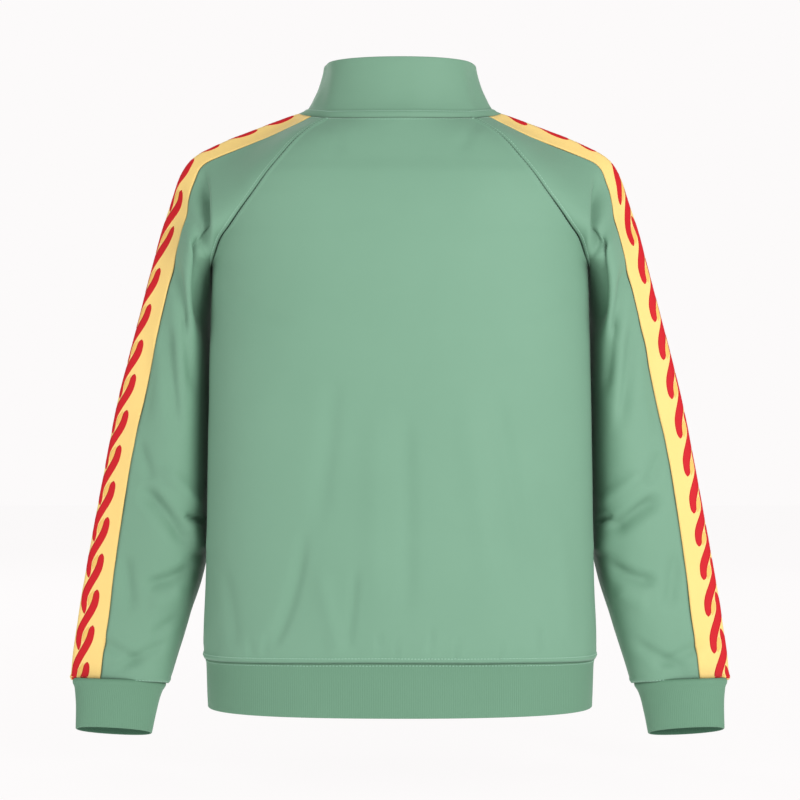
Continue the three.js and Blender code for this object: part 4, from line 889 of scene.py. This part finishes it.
def cuff_top(d, s):
    w = noise(np.stack([s / 8.0, d * 0, d * 0 + 8.0], axis=-1), 45)
    return bump_at(d, 0, 0.8, -0.5) + bump_at(d, 3.0, 1.8, 1.2) + 0.5 * w * np.exp(-((d - 5) / 5)**2)


def collar_base(d, s):                              # raised band between the seam and its stitch line
    w = noise(np.stack([s / 9.0, d * 0, d * 0 + 9.0], axis=-1), 47)
    return (bump_at(d, 0, 0.9, -0.7) + 1.5 * smooth((d - 0.3) / 2) * smooth((9.6 - d) / 1.2)
            + bump_at(d, 10.2, 1.0, -0.8) + 0.15 * w * np.exp(-((d - 12) / 5)**2))


def neck_edge(d, s):
    w = noise(np.stack([s / 8.0, d * 0, d * 0 + 9.0], axis=-1), 48)
    return bump_at(d, 0, 1.1, -0.7) + bump_at(d, 2.4, 0.8, -0.3) + 0.2 * w * np.exp(-((d - 5) / 4)**2)


def tape_side(d, s):
    return bump_at(d, 0, 0.7, -0.35)


def sleeve_at_tape(d, s):
    return bump_at(d, 0, 1.3, -0.8) + bump_at(d, 2.6, 1.6, 0.25)


# ---- the torso --------------------------------------------------------------
def torso_panel(row_at, edge, cols):
    keys = stations((262.85, 0.0, STEP), (0.0, -436.85, STEP))
    rows = []
    for w in keys:
        line = row_at(w)
        s = lengths(line)
        cut = RAGLAN_SEAM / 2 if w > 0 else SEAM / 2
        rows.append(pick(line, s, np.linspace(edge, s[-1] - cut, cols + 1)))
    return np.array(rows), keys


def ease_ledge(P, keys, lock):
    """Fairs the rows either side of the underarm's level; edges stay."""
    w = np.exp(-(keys / 34.0)**2)[:, None, None]
    C = P.shape[1]
    j = np.arange(C)
    side = smooth(np.minimum(j, C - 1 - j) / 5.0) if lock == "both" else smooth((C - 1 - j) / 5.0)
    w = w * side[None, :, None]
    for _ in range(90):
        avg = P.copy()
        avg[1:-1] = 0.5 * (P[:-2] + P[2:])
        P = P + (avg - P) * w * 0.8
    return P


cols = int(250 / STEP)
half_b, torso_keys = torso_panel(back_row, 0.0, cols)
half_f, _ = torso_panel(front_row, ZIP_W / 2, cols)
half_b, half_f = ease_ledge(half_b, torso_keys, "right"), ease_ledge(half_f, torso_keys, "right")
full = np.concatenate([(half_b * [-1, 1, 1])[:, :0:-1], half_b], axis=1)


def outward(P):
    """Sign that makes row x column normals point away from the garment's middle line."""
    n = np.cross(np.gradient(P, axis=0), np.gradient(P, axis=1))
    mid = P.mean(axis=1, keepdims=True) * [1, 0, 1]
    return 1.0 if (n * (P - mid)).sum() > 0 else -1.0


def out_from(P, centre):
    n = np.cross(np.gradient(P, axis=0), np.gradient(P, axis=1))
    return 1.0 if (n * (P - centre)).sum() > 0 else -1.0


panels = {}
body_mid = np.array([0, 0, 0.0])
panels["back"] = Panel(full, out_from(full, full.mean(axis=(0, 1)) * [1, 0, 1]), "body")
right_front = Panel(half_f, 1.0, "body")
if (right_front.N[..., 1]).sum() < 0:
    right_front.N = -right_front.N
panels["front_right"] = right_front
panels["front_left"] = right_front.mirrored()

# ---- the sleeves ------------------------------------------------------------
sleeve_keys = stations((-262.85, 0.0, STEP), (0.0, 465.85, STEP))
parts = {"sleeve_back": [], "sleeve_tape": [], "sleeve_front": []}
centres = []
for t in sleeve_keys:
    line, s, a, b = sleeve_ring(t)
    cut = RAGLAN_SEAM / 2 if t < 0 else 0.3
    spans = {"sleeve_back": (cut, a - SEAM / 2, int(130 / STEP)), "sleeve_tape": (a + SEAM / 2, b - SEAM / 2, int(50 / 2.5)),
             "sleeve_front": (b + SEAM / 2, s[-1] - cut, int(130 / STEP))}
    for key, (lo, hi, n) in spans.items():
        parts[key].append(pick(line, s, np.linspace(lo, hi, n + 1)))
    centres.append(line.mean(axis=0))
centres = np.array(centres)[:, None, :]
for key, rows in parts.items():
    P = ease_ledge(np.array(rows), sleeve_keys, "both")
    kind = "tape" if key == "sleeve_tape" else "sleeve"
    right = Panel(P, out_from(P, centres), kind)
    panels[key + "_right"] = right
    panels[key + "_left"] = right.mirrored()

raglan = {"back": raglan_body, "front": raglan_body}


def raglan_then_plain(profile, keys, sign=1):
    """Applies a seam's profile above the underarm and a plain one below it."""
    above = smooth((np.asarray(keys) * sign) / 12.0)[:, None]

    def mixed(d, s):
        return profile(d, s) * above + groove(d, s) * (1 - above)
    return mixed


body_edge = raglan_then_plain(raglan_body, torso_keys)
arm_edge = raglan_then_plain(raglan_sleeve, -sleeve_keys)
panels["back"].shape({"left": body_edge, "right": body_edge, "top": neck_edge, "bottom": hem_seam})
zip_edge = stitched(7.0, 0.15)
for side in ("right", "left"):
    panels[f"front_{side}"].shape({"left": zip_edge, "right": body_edge, "top": neck_edge, "bottom": hem_seam})
    panels[f"sleeve_back_{side}"].shape({"left": arm_edge, "right": sleeve_at_tape, "top": neck_edge, "bottom": cuff_top})
    panels[f"sleeve_tape_{side}"].shape({"left": tape_side, "right": tape_side, "top": neck_edge, "bottom": cuff_top})
    panels[f"sleeve_front_{side}"].shape({"left": sleeve_at_tape, "right": arm_edge, "top": neck_edge, "bottom": cuff_top})


# ---- collar, hem band and cuffs ---------------------------------------------
def neck_line():
    f, b = front_row(263), back_row(263)
    ring = sleeve_ring(-263)[0]
    lf = lengths(f)
    f = pick(f, lf, np.linspace(ZIP_W / 2, lf[-1], 60))
    return np.concatenate([f, ring[::-1][1:], b[::-1][1:]])


def collar_panel():
    T = COLLAR_TOP
    base = neck_line()
    sb = lengths(base)
    top = np.concatenate([
        bezier(np.array([0, T["frontY"], T["frontZ"]]), np.array([48, T["frontY"], T["frontZ"] + 2]),
               np.array([T["sideX"], T["sideY"] + 38, T["sideZ"] - 22]), np.array([T["sideX"], T["sideY"], T["sideZ"]])),
        bezier(np.array([T["sideX"], T["sideY"], T["sideZ"]]), np.array([T["sideX"], T["sideY"] - 36, T["sideZ"] + 1]),
               np.array([52, T["backY"], T["backZ"]]), np.array([0, T["backY"], T["backZ"]]))[1:]])
    st = lengths(top)
    n = int(sb[-1] / STEP)
    u = np.linspace(0, 1, n + 1)
    B = pick(base, sb, u * sb[-1])
    U = pick(top, st, ZIP_W / 2 + u * (st[-1] - ZIP_W / 2))
    read = reader(COLLAR)
    rows = []
    for h in np.linspace(1, 0, 26):
        k = read(h)[0]
        rows.append(np.stack([lerp(B[:, 0], U[:, 0], k), lerp(B[:, 1], U[:, 1], k), lerp(B[:, 2] + 0.2, U[:, 2], h)], axis=1))
    P = np.array(rows)
    P = np.concatenate([P, (P * [-1, 1, 1])[:, -2::-1]], axis=1)
    for _ in range(26):                             # fairs the sides, where front and back curves meet
        P[:-1, 1:-1] = 0.25 * P[:-1, :-2] + 0.5 * P[:-1, 1:-1] + 0.25 * P[:-1, 2:]
    # the stand leans out a little above the shoulder
    h = np.linspace(1, 0, len(P))[:, None]
    side = smooth((np.abs(P[..., 0]) - 40) / 45)
    P[..., 0] += np.sign(P[..., 0]) * side * 4.6 * smooth(h / 0.32) * smooth((1 - h) / 0.62)
    return P


def hem_panel():
    f, b = front_row(-437), back_row(-437)
    lf, lb = lengths(f), lengths(b)
    half = np.concatenate([pick(f, lf, np.arange(ZIP_W / 2, lf[-1] - 1, STEP)),
                           pick(b, lb, np.linspace(lb[-1], 0, int(lb[-1] / STEP)))])
    line = np.concatenate([half, (half * [-1, 1, 1])[-2::-1]])
    tan = np.gradient(line, axis=0) * [1, 1, 0]
    tan /= np.linalg.norm(tan, axis=1, keepdims=True)
    nrm = np.stack([-tan[:, 1], tan[:, 0], tan[:, 2] * 0], axis=1)
    nrm *= np.sign((nrm * line).sum(axis=1))[:, None]
    nrm[0], nrm[-1] = [0, 1, 0], [0, 1, 0]
    read = reader(HEM)
    depth, low = HEM[-1][0], -344.8
    rows = []
    for d in np.concatenate([np.linspace(0, 8, 9)[:-1], np.linspace(8, depth - 1.1, 16)]):
        k = read(d)[0]
        q = line - nrm * k
        q[:, 2] = lerp(line[:, 2] - SEAM / 2, low, d / depth)
        rows.append(q)
    return np.array(rows)


def cuff_panel():
    rows = []
    for c in np.concatenate([np.linspace(0.3, 9, 8)[:-1], np.linspace(9, 54.4, 16)]):
        ox, oy, oz, qx, qy, qz, k, lift = cuff_ring(c)
        q, o = np.array([qx, qy, qz]), np.array([ox, oy, oz])
        halves = [bezier(q, q + np.array([0, s * k, -s * lift * k]), o + np.array([0, s * k, -s * lift * k]), o) for s in (-1, 1)]
        line = np.concatenate([halves[0], halves[1][-2::-1]])
        s = lengths(line)
        rows.append(pick(line, s, np.linspace(0, s[-1], 97))[:-1])
    return np.array(rows)


class Ring(Panel):
    """A panel whose last column joins its first."""

    def __init__(self, P, out, kind):
        wide = np.concatenate([P[:, -3:], P, P[:, :3]], axis=1)
        full = Panel(wide, out, kind)
        self.P, self.kind = P, kind
        self.N = full.N[:, 3:-3]
        self.across = full.across[:, 3:-3] - full.across[:, 3:4]
        self.down = full.down[:, 3:-3]

    def shape(self, edges):
        around = 2 * np.pi * self.across / (self.across[:, -1:] + 1)
        d = relief(self.P, self.N, self.kind)
        for side, profile in edges.items():
            e = self.edge(side)
            d = d + profile(e, 14 * np.cos(around) + 11 * np.sin(2 * around) + 20)
        self.Q = self.P + self.N * d[..., None]
        wide = np.concatenate([self.Q[:, -3:], self.Q, self.Q[:, :3]], axis=1)
        n = np.cross(np.gradient(wide, axis=0), np.gradient(wide, axis=1))[:, 3:-3]
        n /= np.linalg.norm(n, axis=-1, keepdims=True)
        self.M = n * (1.0 if (n * self.N).sum() > 0 else -1.0)
        return self

    def mirrored(self):
        return Ring(self.P * [-1, 1, 1], -self.sign(), self.kind)


P = collar_panel()
collar = Panel(P, 1.0, "band")
if (collar.N * (P - P.mean(axis=(0, 1)))).sum() < 0:
    collar.N = -collar.N
panels["collar"] = collar.shape({"bottom": collar_base, "left": zip_edge, "right": zip_edge})
P = hem_panel()
hem = Panel(P, 1.0, "band")
if (hem.N * (P - P.mean(axis=(0, 1)))).sum() < 0:
    hem.N = -hem.N
panels["hem_band"] = hem.shape({"top": band_top, "left": zip_edge, "right": zip_edge})
P = cuff_panel()
cuff = Ring(P, 1.0, "band")
if (cuff.N * (P - P.mean(axis=1, keepdims=True))).sum() < 0:
    cuff.N = -cuff.N
panels["cuff_right"] = cuff.shape({"top": band_top})
cl = Ring(P * [-1, 1, 1], 1.0, "band")
if (cl.N * (cl.P - cl.P.mean(axis=1, keepdims=True))).sum() < 0:
    cl.N = -cl.N
panels["cuff_left"] = cl.shape({"top": band_top})

# ---- cloth pieces -----------------------------------------------------------
TUCK = {"collar": ("bottom", 2.6, 1.4), "hem_band": ("top", 2.6, 1.4), "cuff_left": ("top", 2.6, 1.4), "cuff_right": ("top", 2.6, 1.4)}
LOOK = {"back": (GREEN, GREEN_IN_SHADED), "front": (GREEN, GREEN_IN_SHADED), "sleeve_back": (GREEN, GREEN_IN_SHADED),
        "sleeve_front": (GREEN, GREEN_IN_SHADED), "sleeve_tape": (YELLOW, YELLOW_IN_SHADED),
        "collar": (COLLAR_CLOTH, COLLAR_CLOTH), "hem_band": (RIB, RIB_IN_SHADED), "cuff": (RIB, RIB_IN_SHADED)}
for name, panel in panels.items():
    key = name.replace("_left", "").replace("_right", "")
    if name in TUCK:
        panel.tuck(*TUCK[name])
    if key == "collar":
        ob = shell(name + "_cloth", panel, BAND, LOOK[key], free="top")
    elif key == "hem_band":
        ob = shell(name + "_cloth", panel, BAND, LOOK[key], free="bottom")
    elif key == "cuff":
        ob = shell(name + "_cloth", panel, BAND, LOOK[key], free="bottom", closed=True)
    else:
        ob = shell(name + "_cloth", panel, CLOTH, LOOK[key])
    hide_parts(name)

# ---- rope twist on the sleeve tapes ------------------------------------------
# Both sleeves have the same hand of twist: on the left one a stroke runs down and
# out from its inner tip, on the right one up and out. Heights of the inner tips
# (steps of the grid, top to bottom), and how far the twist wanders across the tape.
TIPS = {
    "left": [94, 106, 118, 131, 144, 158, 189, 226, 268, 304, 339.5, 374, 410, 445, 481, 517, 553.5, 589.5, 625.5, 662, 698, 734],
    "right": [104, 115, 126.5, 139.5, 151.5, 204.5, 246, 284, 322, 360, 399, 438.5, 476.5, 513.5, 546.5, 580, 616.5, 653.5, 690, 726, 762],
}
WANDER = {
    "left": [[90, 10], [118, 9], [131, 6], [145, 3], [160, 1], [184, 0.5], [200, 1], [226, 3.2], [268, 4.4], [304, 3.8], [340, 3.4],
             [410, 2.6], [517, 1.6], [720, 1.6]],
    "right": [[90, 10], [118, 9], [131, 6], [150, 3], [170, 1.5], [205, 2.5], [246, 3.6], [300, 4.6], [345, 4.4], [440, 4.4],
              [560, 4.6], [720, 4.8]],
}
PITCH = 41.2
# a stroke: mm along from its inner tip, mm in from the tape's back edge, half width
STROKE = [
    [0, 15.6, 0.4], [1.6, 15.8, 2.2], [4, 16.0, 3.3], [8, 16.1, 3.9], [12, 16.4, 4.1], [16, 17.1, 4.4], [20.5, 18.6, 4.6],
    [25, 20.4, 4.6], [30, 22.8, 4.5], [35, 25.2, 4.4], [40, 27.4, 4.3], [45, 29.1, 4.1], [50, 30.1, 3.8], [55, 30.1, 3.5],
    [60, 29.4, 3.2], [64, 28.7, 2.4], [67, 28.2, 1.4], [69, 27.9, 0.3],
]
EYE = [[1.5, 20.6, 0.2], [5, 21.4, 1.7], [9, 22.4, 2.7], [13, 23.2, 2.4], [18, 24.4, 0.3]]


def strokes(name, panel, side, table, mat, height, steps):
    """Strokes laid on the tape, moved out by height; one closed mesh each."""
    read, wander = reader(table), reader(WANDER[side])
    C = panel.P.shape[1]
    mid = panel.down[:, C // 2]
    col = panel.P[:, int(C * 0.4)]
    grid = 400 - col[:, 2] * VIEW_Y / (VIEW_Y + col[:, 1]) / GRID
    tips = np.array(TIPS[side], float)
    # down the tape at each tip, carried on past both ends
    low, high = grid[0], grid[-1]
    at = np.interp(tips, grid, mid)
    at = np.where(tips < low, mid[0] - (low - tips) * 2.6, np.where(tips > high, mid[-1] + (tips - high) * GRID, at))
    number = np.arange(len(tips), dtype=float)
    way = 1 if side == "left" else -1
    verts, faces = [], []
    m = 6
    for k in range(len(tips)):
        span = np.linspace(table[0][0], table[-1][0], steps)
        phase = k + way * span / PITCH
        ok = (phase >= 0) & (phase <= len(tips) - 1)
        S0 = np.interp(phase, number, at)
        keep = ok & (S0 > 1.0) & (S0 < mid[-1] - 1.0)
        if keep.sum() < 3:
            continue
        span, S0 = span[keep], S0[keep]
        val = np.array([read(x) for x in span])
        val[:, 0] += np.array([wander(g)[0] for g in np.interp(S0, mid, grid)])
        ds, dv = np.gradient(S0), np.gradient(val[:, 0])
        ln = np.hypot(ds, dv)
        ns, nv = -dv / ln, ds / ln
        base = len(verts)
        for i in range(len(span)):
            f = np.linspace(-1, 1, m + 1)
            S = np.clip(S0[i] + ns[i] * val[i, 1] * f, 0.6, mid[-1] - 0.6)
            V = np.clip(val[i, 0] + nv[i] * val[i, 1] * f, 2.2, TAPE_W - 2.5)
            p, n = panel.on(S, V)
            lift = height * np.array([0.7, 0.95, 1, 1, 1, 0.95, 0.7])
            for q, u, h in zip(p, n, lift):
                verts.append(q + u * (h + 0.05))
            for q, u in zip(p, n):
                verts.append(q - u * 0.35)
        w = 2 * (m + 1)
        n = len(span)
        for i in range(n - 1):
            a, b = base + i * w, base + (i + 1) * w
            for j in range(m):
                faces.append((a + j, a + j + 1, b + j + 1, b + j))
                faces.append((a + m + 1 + j, b + m + 1 + j, b + m + 2 + j, a + m + 2 + j))
            faces.append((a, b, b + m + 1, a + m + 1))
            faces.append((a + m, a + 2 * m + 1, b + 2 * m + 1, b + m))
        for i, rev in ((0, False), (n - 1, True)):
            a = base + i * w
            for j in range(m):
                f = (a + j, a + m + 1 + j, a + m + 2 + j, a + j + 1)
                faces.append(f[::-1] if rev else f)
    V = to_world(np.array(verts))
    return make(name, V, face_out(V, faces), [mat])


for side in ("right", "left"):
    tape = panels[f"sleeve_tape_{side}"]
    eye = strokes(f"twist_eyes_{side}", tape, side, EYE, GOLD, 0.10, 11)
    red = strokes(f"twist_strokes_{side}", tape, side, STROKE, RED, 0.24, 34)

# ---- stitches ---------------------------------------------------------------
runs = []
b = panels["back"]
for edge in ("left", "right"):
    pts, nrm = b.line(edge, 1.2)
    runs.append((pts[:int(262 / STEP)], nrm[:int(262 / STEP)]))
runs.append(b.line("bottom", 5.6, 3, 3))
runs.append(b.line("top", 3.2, 2, 2))
for side in ("left", "right"):
    f = panels[f"front_{side}"]
    runs += [f.line("bottom", 5.6, 3, 3), f.line("left", 6.8, 2, 2), f.line("top", 3.2, 2, 2)]
    pts, nrm = f.line("right", 1.2)
    runs.append((pts[:int(262 / STEP)], nrm[:int(262 / STEP)]))
    sb, sf = panels[f"sleeve_back_{side}"], panels[f"sleeve_front_{side}"]
    for p, edge in ((sb, "left"), (sf, "right")):
        pts, nrm = p.line(edge, 4.8)
        n = int(258 / STEP)
        runs.append((pts[:n], nrm[:n]))
    runs += [sb.line("bottom", 1.6, 2, 2), sf.line("bottom", 1.6, 2, 2), sb.line("top", 3.2, 1, 1), sf.line("top", 3.2, 1, 1)]
c = panels["collar"]
runs += [c.line("bottom", 9.6, 1, 1), c.line("left", 6.8, 1, 1), c.line("right", 6.8, 1, 1)]
h = panels["hem_band"]
runs += [h.line("top", 2.6, 1, 1), h.line("left", 6.8, 1, 1), h.line("right", 6.8, 1, 1)]
green_stitches = stitches("green_stitches", runs, GREEN_THREAD)
runs = []
for side in ("left", "right"):
    t = panels[f"sleeve_tape_{side}"]
    runs += [t.line("left", 1.4, 1, 1), t.line("right", 1.4, 1, 1)]
tape_stitches = stitches("tape_stitches", runs, YELLOW_THREAD, length=2.0, pitch=2.7, width=0.4, height=0.2)


# ---- zip --------------------------------------------------------------------
def zip_line():
    pts = []
    read = reader(COLLAR)
    for hh in np.linspace(1, 0, 22):
        pts.append([0, lerp(85, COLLAR_TOP["frontY"], read(hh)[0]), lerp(243.4, COLLAR_TOP["frontZ"], hh)])
    for w in np.linspace(262, -436, 230):
        cz, cy = torso_front(w)[:2]
        pts.append([0, cy, cz])
    read = reader(HEM)
    for d in np.linspace(0.5, HEM[-1][0], 18):
        pts.append([0, 110 - read(d)[0], -284.5 - d * 60.3 / 57.5])
    pts = np.array(sorted(pts, key=lambda p: -p[2]))
    keep = [0]
    for i in range(1, len(pts)):
        if pts[keep[-1]][2] - pts[i][2] > 1.2:
            keep.append(i)
    return pts[keep]


ZL = zip_line()
ZS = lengths(ZL)


def zip_frame(at):
    at = np.atleast_1d(at)
    p = pick(ZL, ZS, at)
    d = pick(ZL, ZS, np.minimum(at + 2, ZS[-1])) - pick(ZL, ZS, np.maximum(at - 2, 0))
    d /= np.linalg.norm(d, axis=1, keepdims=True)
    n = np.stack([0 * d[:, 0], -d[:, 2], d[:, 1]], axis=1)
    return p, d, n


def zip_strip(name, side):
    at = np.arange(1.6, ZS[-1] - 2, 2.4)
    p, d, n = zip_frame(at)
    back = -(2.4 + 0.35)
    sec = [(2.9, back), (5.0, back - 0.05), (8.0, back - 0.55), (12.4, back - 1.2), (12.4, back - 2.0), (8.0, back - 1.4),
           (5.0, back - 0.95), (2.9, back - 0.95)]
    rows = []
    for x, y in sec:
        rows.append(p + np.array([side * x, 0, 0]) + n * (y + 0.02))
    rows = np.array(rows)
    L, C = rows.shape[:2]
    idx = np.arange(L * C).reshape(L, C)
    faces = []
    for a in range(L):
        bb = (a + 1) % L
        for j in range(C - 1):
            faces.append((int(idx[a][j]), int(idx[a][j + 1]), int(idx[bb][j + 1]), int(idx[bb][j])))
    faces.append(tuple(int(idx[a][0]) for a in range(L)))
    faces.append(tuple(int(idx[a][C - 1]) for a in reversed(range(L))))
    V = to_world(rows.reshape(-1, 3))
    u = np.repeat(np.array([s[0] for s in sec]) * 0.001, C)
    v = np.tile(at * 0.001, L)
    fixed = []
    for f in face_out(V, [f for f in faces if len(f) == 4]):
        fixed.append(f)
    same = fixed[0] == faces[0]
    caps = [f if same else f[::-1] for f in faces[-2:]]
    ob = make(name, V, fixed + caps, [ZIP_CLOTH], uvs=np.stack([u, v], axis=1))
    return ob


for side, s in (("right", 1), ("left", -1)):
    ob = zip_strip(f"zip_tape_{side}_cloth", s)
    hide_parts(f"zip_tape_{side}")


def zip_teeth(name):
    """Coil-type teeth: alternate hooks from each side, one every 1.25 mm."""
    verts, faces = [], []
    at = np.arange(8.4, ZS[-1] - 9.6, 1.25)
    p, d, n = zip_frame(at)
    for i in range(len(at)):
        s = 1 if i % 2 else -1
        base = len(verts)
        c = p[i] - n[i] * 1.7
        for x, w, lo, hi in ((2.45 * s, 0.42, -0.95, 0.85), (1.2 * s, 0.5, -1.15, 1.15), (-0.55 * s, 0.55, -1.0, 1.05), (-1.0 * s, 0.35, -0.6, 0.7)):
            for y, z in ((-w, lo), (w, lo), (w, hi), (-w, hi)):
                verts.append(c + np.array([x, 0, 0]) + d[i] * y + n[i] * z)
        for k in range(3):
            a, bb = base + 4 * k, base + 4 * k + 4
            for j in range(4):
                l = (j + 1) % 4
                f = (a + j, a + l, bb + l, bb + j)
                faces.append(f if s > 0 else f[::-1])
        f0, f1 = (base + 3, base + 2, base + 1, base), (base + 12, base + 13, base + 14, base + 15)
        faces += [f0, f1] if s > 0 else [f0[::-1], f1[::-1]]
    V = to_world(np.array(verts))
    return make(name, V, face_out(V, faces), [TEETH], shade=False)


teeth = zip_teeth("zip_chain_teeth")
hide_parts("zip_chain")

for name in ("zip_slider", "zip_pull", "zip_box"):
    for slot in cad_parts[name].material_slots:
        slot.material = METAL

for name in list(panels):
    panel = panels[name]


# ---- camera, light, floor ---------------------------------------------------
scene = bpy.context.scene
cam = bpy.data.objects.new("camera", bpy.data.cameras.new("camera"))
scene.collection.objects.link(cam)
cam.location = (0.0, -VIEW_Y / 1000, -NECK_Z / 1000)
cam.rotation_euler = (math.radians(90), 0, 0)
cam.data.sensor_width = 36.0
cam.data.lens = 36.0 * 2.4 / (800 * GRID * 0.001)
cam.data.clip_end = 30
scene.camera = cam


def area(name, loc, target, size, power, colour=(1, 1, 1), size_y=None):
    light = bpy.data.lights.new(name, "AREA")
    light.energy = power
    light.color = colour
    light.size = size
    if size_y:
        light.shape = "RECTANGLE"
        light.size_y = size_y
    ob = bpy.data.objects.new(name, light)
    scene.collection.objects.link(ob)
    ob.location = loc
    direction = np.array(target) - np.array(loc)
    from mathutils import Vector
    ob.rotation_euler = Vector(direction.tolist()).to_track_quat("-Z", "Y").to_euler()
    return ob


MID = (0, 0, -0.36)
area("key", (1.45, -2.1, 0.30), MID, 1.0, 42)
area("fill", (-2.0, -2.0, 0.2), MID, 2.0, 18)
area("front_key", (-1.4, 2.2, 0.9), MID, 1.4, 22)
area("front_fill", (1.8, 2.0, 0.1), MID, 2.0, 9)

world = bpy.data.worlds.new("studio") if scene.world is None else scene.world
scene.world = world
world.use_nodes = True
nt = world.node_tree
nt.nodes.clear()
out = nt.nodes.new("ShaderNodeOutputWorld")
mixw = nt.nodes.new("ShaderNodeMixShader")
path = nt.nodes.new("ShaderNodeLightPath")
lit, seen = nt.nodes.new("ShaderNodeBackground"), nt.nodes.new("ShaderNodeBackground")
lit.inputs["Color"].default_value = (1, 1, 1, 1)
lit.inputs["Strength"].default_value = 0.40
seen.inputs["Color"].default_value = srgb(252, 250, 250)
seen.inputs["Strength"].default_value = 1.0
nt.links.new(path.outputs["Is Camera Ray"], mixw.inputs[0])
nt.links.new(lit.outputs[0], mixw.inputs[1])
nt.links.new(seen.outputs[0], mixw.inputs[2])
nt.links.new(mixw.outputs[0], out.inputs["Surface"])
scene.view_settings.view_transform = "Standard"
scene.view_settings.look = "None"
scene.view_settings.exposure = 0.0
scene.view_settings.gamma = 1.0

# a pale floor below the cuffs
me = bpy.data.meshes.new("floor")
FZ = -0.735
me.from_pydata([(-6, -6, FZ), (6, -6, FZ), (6, 6, FZ), (-6, 6, FZ)], [], [(0, 1, 2, 3)])
fm, fnt, fb = material("floor_paper", (66, 65, 65), 1.0)
fb.inputs["Specular IOR Level"].default_value = 0.0
fb.inputs["Emission Color"].default_value = srgb(252, 250, 250)
fb.inputs["Emission Strength"].default_value = 0.965
me.materials.append(fm)
floor = bpy.data.objects.new("floor", me)
scene.collection.objects.link(floor)
